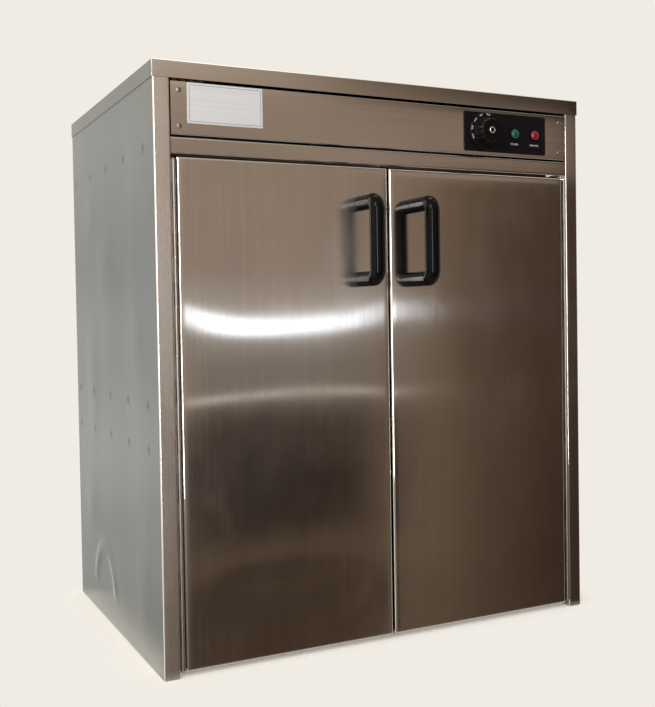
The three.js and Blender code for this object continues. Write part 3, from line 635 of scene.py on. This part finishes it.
def gather(name, pieces):
    drop_selection()
    for piece in pieces:
        piece.select_set(True)
    bpy.context.view_layer.objects.active = pieces[0]
    bpy.ops.object.join()
    whole = bpy.context.object
    whole.name = whole.data.name = name
    return whole


rod_radius, rod_bend, wire_radius, wire_pitch, wire_inset = 0.004, 0.010, 0.0022, 0.038, 0.0005
shelf_low, shelf_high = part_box("lower_shelf")
frame_z = shelf_low.z + rod_radius
left, right = shelf_low.x + rod_radius, shelf_high.x - rod_radius
front, rear = shelf_low.y + rod_radius, shelf_high.y - rod_radius
middle_x, middle_y = (left + right) / 2, (front + rear) / 2
shelf_round = ((middle_x, front), (right, front), (right, rear), (left, rear), (left, front),
               (middle_x, front))
shelf_frame = bend_rod("shelf_frame", [(x, y, frame_z) for x, y in shelf_round], rod_radius, 16, rod_bend, 6,
                       closed=True)
shelf_bar = bend_rod("shelf_bar", [(left, middle_y, frame_z), (right, middle_y, frame_z)], rod_radius, 16)
wire_z = shelf_high.z - wire_radius
wire_count = int((right - left) / wire_pitch) - 1
first_wire_x = -(wire_count - 1) / 2 * wire_pitch
wire = bend_rod("shelf_wire", [(first_wire_x, shelf_low.y + wire_inset, wire_z),
                               (first_wire_x, shelf_high.y - wire_inset, wire_z)], wire_radius, 12)
ease(wire, lambda a, b: near(a.y, b.y), 0.0008)
repeat(wire, (wire_pitch, 0, 0), wire_count)
lower_shelf = gather("lower_wire_shelf", [wire, shelf_frame, shelf_bar])

bright_wire = mottled("bright_wire", 1.0, (120, 4, 0.65), ((0.50, 0.49, 0.47), (0.66, 0.65, 0.63)),
                      (0.13, 0.32))
upper_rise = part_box("upper_shelf")[0].z - shelf_low.z
upper_shelf = copy_of(lower_shelf, "upper_wire_shelf", (0, 0, upper_rise))
settle(lower_shelf, "cabinet", "bright_steel", bright_wire, "lower_shelf", crease=40)
settle(upper_shelf, "cabinet", "bright_steel", bright_wire, "upper_shelf", crease=40)
dress(liner_steel, "shelf_runner_lower_left", "shelf_runner_lower_right",
      "shelf_runner_upper_left", "shelf_runner_upper_right")


# Front rail and control fascia. Two folded channels of belt-polished stainless between the
# posts; the rail's lower fold turns down behind the doors as their stop.

level_polish = polished_steel("level_polish", level_run, 0.35, 0.25)
channel_fold = 0.0018


def channel(name, node, across_cuts, low_z, high_z, low_fold, high_fold, lip=0):
    """A level channel: its face to the front, folded back along the top and the bottom."""
    low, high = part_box(node)
    face = low.y
    rail = lay_sheet(name, (low.x, face, low_z), (high.x, face, high_z), "front", (across_cuts, 6))
    pick_edges(lambda a, b: lie_at(a, b, z=high_z))
    pull(y=high_fold)
    pick_edges(lambda a, b: lie_at(a, b, z=low_z))
    pull(y=low_fold)
    if lip:
        pull(z=-lip)
    pick_edges(lambda a, b: lie_at(a, b, y=face, z=high_z) or lie_at(a, b, y=face, z=low_z)
               or (lip and lie_at(a, b, y=face + low_fold, z=low_z)))
    round_over(channel_fold)
    thicken(rail)
    return rail


rail_low, rail_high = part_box("front_rail")
stop_lip, rail_fold, fascia_fold = 0.015, 0.020, 0.014
rail = channel("front_rail_skin", "front_rail", 24, rail_low.z + stop_lip, rail_high.z,
               rail_high.y - gauge - rail_low.y, rail_fold, stop_lip)
settle(rail, "cabinet", "front_steel", level_polish, "front_rail")

fascia_low, fascia_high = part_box("control_fascia")
fascia = channel("fascia_skin", "control_fascia", 30, fascia_low.z, fascia_high.z, fascia_fold, fascia_fold)
knob_low, knob_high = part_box("thermostat_knob")
dial_x, _, dial_z = middle_of("thermostat_knob")
lamp_x = {colour: middle_of(f"{colour}_lamp_lens").x for colour in ("green", "red")}
spindle_hole, lamp_hole, hole_reach = 0.004, 0.006, 0.006


def control_holes():
    """Cutters for the spindle and the two lamps, through the plate and the fascia."""
    return [turn_up("hole", (x, fascia_low.y, dial_z), [(radius, -hole_reach), (radius, hole_reach)], 32)
            for x, radius in ((dial_x, spindle_hole), *((x, lamp_hole) for x in lamp_x.values()))]


cut_away(fascia, *control_holes())
settle(fascia, "cabinet", "front_steel", level_polish, "control_fascia")


# Fascia screws. Four pan heads of plated steel hold the fascia to the ears behind it; their
# plating is painted dark brown as painted shade, for the dim room that the domed heads mirror.

# Painted shade: the screws' plating is kept dark brown so that the domed heads read dim, over a random
# mottle.
browned_plate, surface, place, polish = finish_with("browned_plate", belt_polish)
dimmed_mottle = noise(place, 700, 4, 0.65)
coat(surface, mix_colours(dimmed_mottle, (0.13, 0.105, 0.085), (0.31, 0.26, 0.215)),
     spread_range(dimmed_mottle, 0.45, 0.28))
raise_by(surface, polish["Hairline"], *hairline_relief)


def screw_seat(node):
    x, _, z = middle_of(node)
    return Vector((x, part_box(node)[0].y + screw_rise, z))


first_node, *other_nodes = ("fascia_screw_left_upper", "fascia_screw_left_lower",
                            "fascia_screw_right_upper", "fascia_screw_right_lower")
first_seat = screw_seat(first_node)
first_screw = pan_screw(f"{first_node}_pan", first_seat)
settle(first_screw, "cabinet", "bright_steel", browned_plate, first_node)
for node in other_nodes:
    screw = copy_of(first_screw, f"{node}_pan", screw_seat(node) - first_seat)
    settle(screw, "cabinet", "bright_steel", browned_plate, node)


# Control plate. A black anodised plate on the fascia, printed with the dial's mark and a word
# under each lamp in white.

def rounded_plate(name, low, high, corner, edge):
    """A thin plate facing front, its corners rounded and its front arris eased."""
    plate = rough_block(name, low, high)
    ease(plate, lambda a, b: not near(a.y, b.y), corner, 5)
    ease(plate, lambda a, b: lie_at(a, b, y=low.y), edge)
    return plate


black_plate, surface, place, polish = finish_with("black_plate", belt_polish, level_run, 0.0,
                                                  Specular_IOR_Level=0.10)
speckle = noise(place, 1800, 3, 0.6)
coat(surface, mix_colours(speckle, (0.0042, 0.0032, 0.0050), (0.0085, 0.0064, 0.0095)),
     sum_of(spread_range(speckle, 0.30, 0.42), spread_range(polish["Cloud"], -0.04, 0.06)))
raise_by(surface, speckle, 0.2, 0.0001)
plate_low, plate_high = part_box("control_plate")
plate = rounded_plate("control_plate_black", plate_low, plate_high, 0.0025, 0.0004)
cut_away(plate, *control_holes())
settle(plate, "cabinet", "black_matt", black_plate, "control_plate")

white_print = mottled("white_print", 0.0, (900, 4, 0.6), ((0.58, 0.58, 0.57), (0.76, 0.76, 0.75)),
                      (0.4, 0.6, 0, 1))
print_rise, print_proud = 0.00008, 0.00006


def printed_word(words, height, place, lean=0.0):
    """Printing that faces front, made a mesh and laid on the surface at place, leaned about the Y line."""
    drop_selection()
    bpy.ops.object.text_add()
    text = bpy.context.object.data
    text.body, text.size, text.extrude = words, height, print_rise
    text.align_x = text.align_y = "CENTER"
    bpy.ops.object.convert(target="MESH")
    word = bpy.context.object
    word.rotation_euler = (pi / 2, lean, 0)
    word.location = place
    return placed(f"word_{words}")


dial_radius = knob_high.x - dial_x
mark_half, mark_gap, word_height, word_drop = 0.0005, 0.0006, 0.0044, 0.0172
mark = rough_block("dial_mark", (dial_x - mark_half, plate_low.y - proud, dial_z + dial_radius + mark_gap),
                   (dial_x + mark_half, plate_low.y, plate_high.z - mark_gap))
ease(mark, lambda a, b: near(a.x, b.x) and near(a.z, b.z), 0.0004)
words = [printed_word(word, word_height, (lamp_x[colour], plate_low.y - print_proud, dial_z - word_drop))
         for colour, word in (("green", "POWER"), ("red", "HEATING"))]
settle(gather("plate_print", [mark, *words]), "cabinet", "label", white_print)


# Pilot lamps. A domed coloured lens in a thin black collar, snapped into the plate, its plastic
# slightly clouded.

black_gloss, surface, place, _ = finish_with("black_gloss", metallic=0.0, Specular_IOR_Level=0.06)
moulding = noise(place, 260, 4, 0.6)
coat(surface, mix_colours(moulding, (0.0022, 0.0021, 0.0022), (0.0050, 0.0048, 0.0048)),
     spread_range(moulding, 0.05, 0.09))
raise_by(surface, noise(place, 1400, 2), 0.03, 0.0001)

dome_share, dome_foot, dome_steps, dome_flat = 0.94, 0.24, 8, 0.3
# The collar's section: each point's share of the lamp's radius and of its rise.
collar_section = ((1, 0), (1, 0.20), (0.985, 0.27), (0.96, 0.27), (0.945, 0.20))
for colour, tones in (("green", ((0.002, 0.075, 0.040), (0.005, 0.120, 0.066))),
                      ("red", ((0.190, 0.006, 0.007), (0.300, 0.012, 0.012)))):
    lens = mottled(f"{colour}_lens", 0.0, (420, 2, 0.5), tones, (0.05, 0.12, 0, 1), (0.1, 0.0002),
                   Transmission_Weight=0.2, Specular_IOR_Level=0.3, IOR=1.49)
    low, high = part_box(f"{colour}_lamp_lens")
    radius, rise = (high.x - low.x) / 2, high.y - low.y
    seat, bulge = (lamp_x[colour], high.y, dial_z), radius * dome_share
    rings = [(bulge, 0), (bulge, rise * dome_foot)]
    for step in range(1, dome_steps + 1):
        angle = pi / 2 * step / (dome_steps + dome_flat)
        rings.append((bulge * cos(angle), rise * (dome_foot + (1 - dome_foot) * sin(angle))))
    dome = turn_up(f"{colour}_lens_dome", seat, rings, 40)
    settle(dome, "cabinet", f"{colour}_lens", lens, f"{colour}_lamp_lens", crease=50)
    rings = [(radius * out, rise * up) for out, up in collar_section]
    rings.append((rings[-1][0], 0.00005))
    settle(turn_up(f"{colour}_lamp_collar", seat, rings, 40), "cabinet", "black_gloss", black_gloss)


# Thermostat dial. A black moulded knob with a wide skirt, a fluted grip and a bright cap in the
# middle; white numbers run round the skirt and turn with it.

seat = Vector((dial_x, knob_high.y, dial_z))
stand = knob_high.y - knob_low.y
foot_radius, skirt_rise, hub_radius, nose_radius, well_radius = 0.030, 0.0032, 0.0225, 0.0195, 0.0075
knob = turn_up("dial_knob", seat, [
    (foot_radius, 0), (dial_radius, 0.0006), (dial_radius, skirt_rise - 0.001),
    (dial_radius - 0.001, skirt_rise), (hub_radius + 0.0012, skirt_rise + 0.0008),
    (hub_radius, skirt_rise + 0.002), (nose_radius + 0.0008, stand - 0.003),
    (nose_radius, stand - 0.0012), (nose_radius - 0.0014, stand),
    (well_radius, stand), (well_radius - 0.0007, stand - 0.0008)], 96)
flute_count, flute_depth, grip_inner = 12, 0.0016, 0.012
for point in knob.data.vertices:
    away = Vector((point.co.x - dial_x, 0, point.co.z - dial_z))
    forward = seat.y - point.co.y
    if skirt_rise + 0.0015 < forward < stand - 0.0005 and away.length > grip_inner:
        turn_angle = Vector((0, 1)).angle_signed(away.xz, 0)
        hollow = max(0.0, cos(flute_count * turn_angle)) ** 2
        point.co -= away.normalized() * flute_depth * hollow
dial_black = mottled("dial_black", 0.0, (320, 4, 0.6), ((0.0016, 0.0015, 0.0016), (0.0042, 0.0040, 0.0042)),
                     (0.26, 0.42), (0.08, 0.0001), Specular_IOR_Level=0.12)
settle(knob, "dial", "black_gloss", dial_black, "thermostat_knob", crease=38)

cap_low, cap_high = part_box("knob_cap")
cap_radius, cap_stand = (cap_high.x - cap_low.x) / 2, cap_high.y - cap_low.y
cap = turn_up("dial_cap", (dial_x, cap_high.y, dial_z), [
    (cap_radius * 0.9, 0), (cap_radius, 0.0002), (cap_radius, cap_stand - 0.0005),
    (cap_radius * 0.9, cap_stand), (cap_radius * 0.72, cap_stand),
    (cap_radius * 0.66, cap_stand - 0.0003)], 48)
settle(cap, "dial", "bright_steel", bright_plate, "knob_cap")
# The dish in the middle of the cap takes the black finish: painted shade, so that it reads as a deep recess.
finish_faces(cap, dial_black, lambda face: face.normal.y < -0.9 and (
    face.center.xz - seat.xz).length < cap_radius * 0.3)

number_radius = (dial_radius + hub_radius) / 2 - 0.0002
number_y, number_height = seat.y - skirt_rise - 0.0003, 0.0082
first_lean, lean_step = 7, -29
numbers = []
for step, value in enumerate(range(30, 105, 15)):
    lean = radians(first_lean + lean_step * step)
    spot = (dial_x + number_radius * sin(lean), number_y, dial_z + number_radius * cos(lean))
    numbers.append(printed_word(str(value), number_height, spot, lean))
settle(gather("dial_numbers", numbers), "dial", "label", white_print)
dress(bright_plate, "thermostat_spindle")


# Label plate. A thin pale aluminium plate glued to the fascia, bare but for a fine printed
# border a little way in from its edge.

label_low, label_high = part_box("label_plate")
label = rounded_plate("label_plate_bare", label_low, label_high, 0.0016, 0.0002)
pale_label, surface, place, polish = finish_with("pale_label", belt_polish, level_run, 0.15)
middle, half = (label_low + label_high) / 2, (label_high - label_low) / 2
tree = surface.id_data
parts = add(tree, "ShaderNodeSeparateXYZ")
join_up((add(tree, "ShaderNodeTexCoord").outputs["Object"], parts.inputs[0]))
from_ends = reckon("SUBTRACT", half.x, distance_to(parts.outputs["X"], middle.x))
from_long_sides = reckon("SUBTRACT", half.z, distance_to(parts.outputs["Z"], middle.z))
inset = reckon("MINIMUM", from_ends, from_long_sides)
border = product_of(spread_range(inset, 0, 1, 0.0026, 0.0028),
                    spread_range(inset, 1, 0, 0.0034, 0.0036))
tone = streaked_tone(polish, (0.60, 0.62, 0.64), (0.71, 0.73, 0.745))
coat(surface, mix_colours(product_of(border, 0.8), tone, (0.10, 0.14, 0.30)),
     spread_range(polish["Hairline"], 0.34, 0.48))
settle(label, "cabinet", "label", pale_label, "label_plate")


# Wiring behind the fascia. The thermostat, lamp bodies and terminal block are cream plastic, the
# loom is sleeved in black, and a black gland sits in the back panel.

cream_plastic = mottled("cream_plastic", 0.0, (150, 4, 0.6), ((0.52, 0.48, 0.39), (0.64, 0.60, 0.51)),
                        (0.42, 0.58, 0, 1))
black_matt = mottled("black_matt", 0.0, (1100, 3, 0.6), ((0.010, 0.010, 0.010), (0.024, 0.023, 0.022)),
                     (0.45, 0.68), (0.3, 0.0002))
dress(cream_plastic, "thermostat_body", "green_lamp_body", "red_lamp_body", "terminal_block")
dress(black_matt, "wiring_loom", "cable_gland", "double_magnet_catch")


# Top panel. One sheet of polished stainless folded down into a skirt all round, its corners
# welded and ground smooth; the skirt is duller at the sides and the back.

def pick_rim():
    open_mesh("EDGE", "DESELECT")
    bpy.ops.mesh.select_non_manifold(extend=False)


top_low, top_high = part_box("top_panel")
top_fold, top_half_width, top_half_depth = 0.0016, 0.37, 0.25
# Each dent: its middle in X and Y, how far it reaches across and along, and its depth.
top_dents = ((-0.08, 0.02, 0.22, 0.14, 0.0008), (0.20, -0.06, 0.12, 0.10, -0.0004))
top = lay_sheet("top_panel_skin", (top_low.x, top_low.y, top_high.z), top_high, "up", (32, 22))
pick_rim()
pull(z=top_low.z - top_high.z)
pick_edges(lambda a, b: not near(a.z, b.z) or (lie_at(a, b, z=top_high.z) and any(
    lie_at(a, b, x=corner.x) or lie_at(a, b, y=corner.y) for corner in (top_low, top_high))))
round_over(top_fold)
close_mesh()


def on_top(co):
    return near(co.z, top_high.z) and abs(co.x) < top_half_width and abs(co.y) < top_half_depth


for x, y, across, along, depth in top_dents:
    press(top, on_top, (0, 0, -1), (x, y, top_high.z), (across, along, 0), depth)
thicken(top)
settle(top, "cabinet", "front_steel", level_polish, "top_panel")
finish_faces(top, dull_steel, lambda face: abs(face.normal.x) > 0.8 or face.normal.y > 0.8)


# Doors. Each is a pan of polished stainless, grain upright, filled with wool and closed by an
# inner sheet; it hangs on a continuous hinge and meets a magnet at the head.

door_fold, door_margin = 0.0042, 0.012


def door_skin(side, finish, crown, waves, bulges):
    """A door's pan. Each wave is its place up the door, reach and rise; each bulge its middle in X and Z,
    how far it reaches across and up, and its rise."""
    low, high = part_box(f"{side}_door_skin")
    face = low.y
    skin = lay_sheet(f"{side}_door_pan", (low.x, face, low.z), (high.x, face, high.z), "front", (30, 60))
    pick_rim()
    pull(y=high.y - face)
    pick_edges(lambda a, b: any(lie_at(a, b, y=face, x=corner.x) or lie_at(a, b, y=face, z=corner.z)
                                for corner in (low, high))
               or any(lie_at(a, b, x=x, z=z) for x in (low.x, high.x) for z in (low.z, high.z)))
    round_over(door_fold, 5)
    close_mesh()
    middle, half = (low + high) / 2, (high - low) / 2
    for point in skin.data.vertices:
        u, v = (point.co.x - middle.x) / (half.x - door_fold), (point.co.z - middle.z) / (half.z - door_fold)
        if near(point.co.y, face) and abs(u) < 1 and abs(v) < 1:
            point.co.y -= crown * (1 - u * u) * (1 - v * v)
            for place, reach, rise in waves:
                point.co.y -= rise * (1 - u * u) * (v - place) * exp(-((v - place) / reach) ** 2)
    for x, z, across, up, rise in bulges:
        press(skin, lambda co: co.y < face + 0.0001 and low.x + door_margin < co.x < high.x - door_margin,
              (0, -1, 0), (x, face, z), (across, 0, up), rise)
    thicken(skin)
    settle(skin, f"{side}_door", "front_steel", finish, f"{side}_door_skin")


# Hands have hazed the left door's polish beside its handle.
thumbed_patch = (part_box("left_handle")[0].x - 0.018, middle_of("left_handle").z, 0.055, 0.125, 0.095)
thumbed_polish = polished_steel("thumbed_polish", upright_run, *door_grain, thumbed_patch)
door_skin("left", thumbed_polish, 0.0003, ((0.38, 0.30, -0.0027), (-0.55, 0.25, 0.0034)),
          ((-0.20, 0.16, 0.12, 0.05, 0.0004), (-0.10, 0.08, 0.10, 0.03, -0.0003),
           (-0.28, 0.40, 0.08, 0.10, 0.0003)))
door_skin("right", upright_polish, 0.0002, (),
          ((0.20, 0.20, 0.12, 0.12, 0.0004), (0.10, 0.55, 0.07, 0.15, 0.0003)))
dress(bright_plate, "left_strike_plate", "right_strike_plate")


# Continuous hinges. A folded steel leaf on the door and one on the post, their knuckles taking
# turns along a thin pin in the gap from foot to head.

# The hinge steel is painted dark: painted shade of the narrow gap between post and door, over a random
# mottle.
hinge_steel, surface, place, polish = finish_with("hinge_steel", belt_polish)
gap_shade_mottle = noise(place, 240, 4, 0.65)
coat(surface, mix_colours(gap_shade_mottle, (0.15, 0.13, 0.115), (0.27, 0.245, 0.22)),
     spread_range(polish["Cloud"], 0.28, 0.42))
raise_by(surface, polish["Hairline"], *hairline_relief)

barrel, knuckle_count, knuckle_gap = 0.0024, 21, 0.0004
leaf_near, leaf_far, leaf_front, leaf_depth = 0.0028, 0.0038, 0.0016, 0.018
for side, inward in (("left", 1), ("right", -1)):
    pin_low, pin_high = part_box(f"{side}_hinge_pin")
    x, y, _ = middle_of(f"{side}_hinge_pin")
    foot, head = pin_low.z, pin_high.z
    pitch = (head - foot) / knuckle_count
    for leaf, first, way in (("frame_leaf", 0, -inward), ("door_leaf", 1, inward)):
        node = f"{side}_hinge_{leaf}"
        low_z, high_z = foot + first * pitch + knuckle_gap / 2, foot + (first + 1) * pitch - knuckle_gap / 2
        knuckle = bend_rod(f"{node}_knuckles", [(x, y, low_z), (x, y, high_z)], barrel, 20)
        ease(knuckle, lambda a, b: near(a.z, b.z), 0.0003)
        near_x, far_x = sorted((x, x + way * (leaf_near + leaf_far) / 2))
        lug = rough_block(f"{node}_lug", (near_x, y + leaf_front, low_z), (far_x, y + barrel, high_z))
        ease(lug, lambda a, b: near(a.z, b.z) and near(a.y, b.y), 0.0002)
        knuckles = gather(f"{node}_knuckles", [knuckle, lug])
        repeat(knuckles, (0, 0, 2 * pitch), knuckle_count // 2 + 1 - first)
        near_x, far_x = sorted((x + way * leaf_near, x + way * leaf_far))
        plate = rough_block(f"{node}_plate", (near_x, y + leaf_front, foot), (far_x, y + leaf_depth, head))
        ease(plate, lambda a, b: near(a.x, b.x) and near(a.y, b.y), 0.0003)
        settle(gather(f"{node}_folded", [knuckles, plate]), frame["nodes"][node]["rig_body"], "side_steel",
               hinge_steel, node, crease=40)
dress(bright_plate, "left_hinge_pin", "right_hinge_pin")


# Handles. A bridge handle in glossy black round bar stands on each door near the meeting edge,
# held by two bolts through the door whose heads show inside.

bar_radius, elbow = 0.012, 0.0135
bolt_head = [(0.0105, 0), (0.0105, 0.0006), (0.0098, 0.0010), (0.0062, 0.0011), (0.0060, 0.0030),
             (0.0050, 0.0042), (0.0030, 0.0048), (0.0006, 0.0049)]
for side in ("left", "right"):
    low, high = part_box(f"{side}_handle")
    x, reach = (low.x + high.x) / 2, low.y + bar_radius
    top_z, foot_z = high.z - bar_radius, low.z + bar_radius
    handle = bend_rod(f"{side}_bridge_handle", [(x, high.y, top_z), (x, reach, top_z), (x, reach, foot_z),
                                                (x, high.y, foot_z)], bar_radius, 32, elbow, 10)
    ease(handle, lambda a, b: lie_at(a, b, y=high.y), 0.0006)
    settle(handle, f"{side}_door", "black_gloss", black_gloss, f"{side}_handle", crease=40)
    inner_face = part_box(f"{side}_door_inner")[1].y
    for name, z in (("upper", top_z), ("lower", foot_z)):
        bolt = turn_up(f"{side}_{name}_handle_bolt", (0, 0, 0), bolt_head, 32)
        face_back(bolt, (x, inner_face + proud, z))
        settle(bolt, f"{side}_door", "bright_steel", bright_plate)


# Studio. A pale floor that fades into a pale room, a dim warm corner in front for the steel to
# mirror, soft lamps above and to the left, and the camera of the photograph.

floor_radius, floor_middle = 1.1, (0, 0.05, -0.0005)
drop_selection()
bpy.ops.mesh.primitive_circle_add(vertices=96, radius=floor_radius, fill_type="NGON", location=floor_middle)
floor = placed("studio_floor")
floor_paint, surface, place, _ = finish_with("floor_paint", metallic=0.0, Roughness=0.9,
                                             Specular_IOR_Level=0.0)
floor_tone = mix_colours(noise(place, 60, 3), (0.775, 0.745, 0.69), (0.795, 0.765, 0.71))
# The floor shows only close round the cabinet: it fades with the distance from a box under it.
shadow_box, fade_start, fade_end = (0.36, 0.215, 1), 0.012, 0.085
tree = surface.id_data
across = add(tree, "ShaderNodeVectorMath", operation="ABSOLUTE")
beyond = add(tree, "ShaderNodeVectorMath", {1: shadow_box}, operation="SUBTRACT")
outside = add(tree, "ShaderNodeVectorMath", {1: (0, 0, 0)}, operation="MAXIMUM")
from_box = add(tree, "ShaderNodeVectorMath", operation="LENGTH")
clear = add(tree, "ShaderNodeBsdfTransparent")
fade = add(tree, "ShaderNodeMixShader")
output = next(n for n in tree.nodes if n.type == "OUTPUT_MATERIAL")
join_up((floor_tone, surface.inputs["Base Color"]),
        (place, across.inputs[0]), (across.outputs[0], beyond.inputs[0]),
        (beyond.outputs[0], outside.inputs[0]), (outside.outputs[0], from_box.inputs[0]),
        (spread_range(from_box.outputs["Value"], 0, 1, fade_start, fade_end), fade.inputs[0]),
        (surface.outputs[0], fade.inputs[1]), (clear.outputs[0], fade.inputs[2]),
        (fade.outputs[0], output.inputs["Surface"]))
floor.data.materials.append(floor_paint)

room = bpy.data.worlds.new("studio_room")
bpy.context.scene.world = room
room.use_nodes = True
tree = room.node_tree
glow = next(n for n in tree.nodes if n.type == "BACKGROUND")
way = add(tree, "ShaderNodeSeparateXYZ")
all_ways = add(tree, "ShaderNodeTexCoord").outputs["Generated"]
join_up((all_ways, way.inputs[0]))
forwards = product_of(way.outputs["Y"], -1.0)
# Where a direction meets a wall one metre in front of the doors.
sideways = reckon("DIVIDE", way.outputs["X"], forwards)
upwards = reckon("DIVIDE", way.outputs["Z"], forwards)


def shade_along(value, *stops):
    """Colours at given places along a value, with even steps between them."""
    first, last = stops[0][0], stops[-1][0]
    shades = add(value.id_data, "ShaderNodeValToRGB")
    while len(shades.color_ramp.elements) < len(stops):
        shades.color_ramp.elements.new(0.5)
    for element, (spot, colour) in zip(shades.color_ramp.elements, stops):
        element.position = (spot - first) / (last - first)
        element.color = (*colour, 1)
    join_up((spread_range(value, 0, 1, first, last), shades.inputs[0]))
    return shades.outputs[0]


def turn_into(first, second, value, start, end):
    """One shade before start, the other after end."""
    return mix_colours(spread_range(value, 0, 1, start, end), first, second)


def tint(first, second):
    return mix_colours(1, first, second, blend_type="MULTIPLY")


black, white = (0, 0, 0), (1, 1, 1)
pale_wall, daylight, lit_side = (0.871, 0.838, 0.776), (3.0, 3.25, 3.6), (1.9, 1.9, 1.88)
room_wall = shade_along(upwards, (-0.42, (0.095, 0.058, 0.036)), (-0.31, (0.070, 0.046, 0.031)),
                        (-0.275, (0.125, 0.083, 0.053)), (-0.235, (0.040, 0.027, 0.020)),
                        (-0.18, (0.034, 0.023, 0.018)), (-0.125, (0.075, 0.056, 0.045)),
                        (-0.100, (0.20, 0.165, 0.145)), (-0.094, (1.2, 1.12, 1.01)),
                        (-0.088, (0.28, 0.24, 0.21)), (-0.05, (0.32, 0.275, 0.24)),
                        (-0.02, (0.44, 0.40, 0.36)), (0.012, (0.60, 0.54, 0.48)),
                        (0.05, (0.45, 0.36, 0.30)), (0.16, (0.44, 0.34, 0.265)))
window = tint(shade_along(upwards, (-0.013, black), (-0.008, white), (0.006, white), (0.012, black)),
              shade_along(sideways, (0.298, black), (0.310, white), (0.545, white), (0.566, black)))
room_wall = mix_colours(window, room_wall, daylight)
far_wall = tint(shade_along(sideways, (0.55, (0.42, 0.31, 0.235)), (0.60, (0.37, 0.275, 0.20)),
                            (0.70, (0.145, 0.098, 0.063)), (0.84, (0.085, 0.052, 0.036)),
                            (1.0, (0.085, 0.055, 0.04))),
                shade_along(upwards, (-0.36, (0.70, 0.68, 0.66)), (-0.10, (0.84, 0.82, 0.80)),
                            (0.05, (0.9, 0.88, 0.86))))
upper_wall = shade_along(sideways, (0.30, (0.45, 0.35, 0.275)), (0.60, (0.44, 0.34, 0.265)),
                         (0.828, (0.38, 0.285, 0.22)), (0.838, (0.11, 0.085, 0.065)))
ceiling_edge = shade_along(sideways, (0.30, (0.76, 0.64, 0.53)), (0.45, (0.55, 0.44, 0.35)),
                           (0.57, (0.22, 0.16, 0.115)), (0.78, (0.015, 0.011, 0.008)))
near_wall = shade_along(upwards, (-0.40, (0.27, 0.225, 0.190)), (-0.15, (0.48, 0.385, 0.320)),
                        (0.0, (0.66, 0.50, 0.40)), (0.20, (0.85, 0.73, 0.62)))
ceiling = shade_along(upwards, (0.0, (0.75, 0.70, 0.63)), (1.0, (0.80, 0.76, 0.70)))
view = turn_into(room_wall, far_wall, sideways, 0.560, 0.582)
view = turn_into(view, upper_wall, upwards, 0.157, 0.165)
view = turn_into(view, ceiling_edge, upwards, 0.2435, 0.2485)
view = turn_into(near_wall, view, sideways, 0.262, 0.282)
view = turn_into(view, ceiling, upwards, 0.80, 1.20)
view = turn_into(view, pale_wall, way.outputs["Y"], -0.62, -0.38)
mottle = noise(all_ways, 9, 2, 0.5)
side_room = tint(shade_along(upwards, (-0.26, (0.60, 0.58, 0.54)), (-0.14, (0.57, 0.565, 0.54)),
                             (-0.04, (0.50, 0.505, 0.49)), (0.04, (0.49, 0.50, 0.485)),
                             (0.14, (0.55, 0.555, 0.535)), (0.24, (0.47, 0.47, 0.45)),
                             (0.36, (0.40, 0.40, 0.385))),
                 shade_along(mottle, (0.3, (0.72, 0.72, 0.72)), (0.7, (1.25, 1.25, 1.25))))
side_room = turn_into(pale_wall, side_room, sideways, 0.06, 0.13)
side_room = turn_into(side_room, pale_wall, sideways, 0.55, 0.95)
view = turn_into(view, side_room, way.outputs["Y"], 0.55, 0.62)
view = turn_into(lit_side, view, way.outputs["X"], -0.86, -0.80)
seen_by = add(tree, "ShaderNodeLightPath").outputs["Is Camera Ray"]
join_up((turn_into(view, pale_wall, seen_by, 0, 1), glow.inputs["Color"]))


def lamp(name, place, aim, size, power):
    drop_selection()
    bpy.ops.object.light_add(type="AREA", location=place)
    light = bpy.context.object
    light.name = name
    light.data.shape = "RECTANGLE"
    light.data.size, light.data.size_y = size
    light.data.energy = power
    light.rotation_euler = (Vector(aim) - Vector(place)).to_track_quat("-Z", "Y").to_euler()
    light.visible_camera = False
    return light


lamp("soft_key", (-2.6, -2.4, 2.6), (0, 0, 0.5), (1.6, 1.6), 105)
lamp("soft_top", (0.3, 0.6, 3.4), (0, 0, 0.5), (1.8, 1.8), 40)
lamp("glint_strip", (-1.05, -1.95, 0.58), (0, -0.3, 0.55), (0.26, 1.3), 26).visible_diffuse = False

drop_selection()
bpy.ops.object.camera_add(location=(-0.79722, -1.65433, 0.53411),
                          rotation=tuple(radians(a) for a in (88.4631, 0.9306, -26.4756)))
camera = bpy.context.object
camera.name = "photo_camera"
camera.data.lens = 50.3825
camera.data.sensor_width = 36
camera.data.shift_x = -0.004518
camera.data.shift_y = -0.022047
bpy.context.scene.camera = camera
bpy.context.scene.view_settings.view_transform = "Standard"
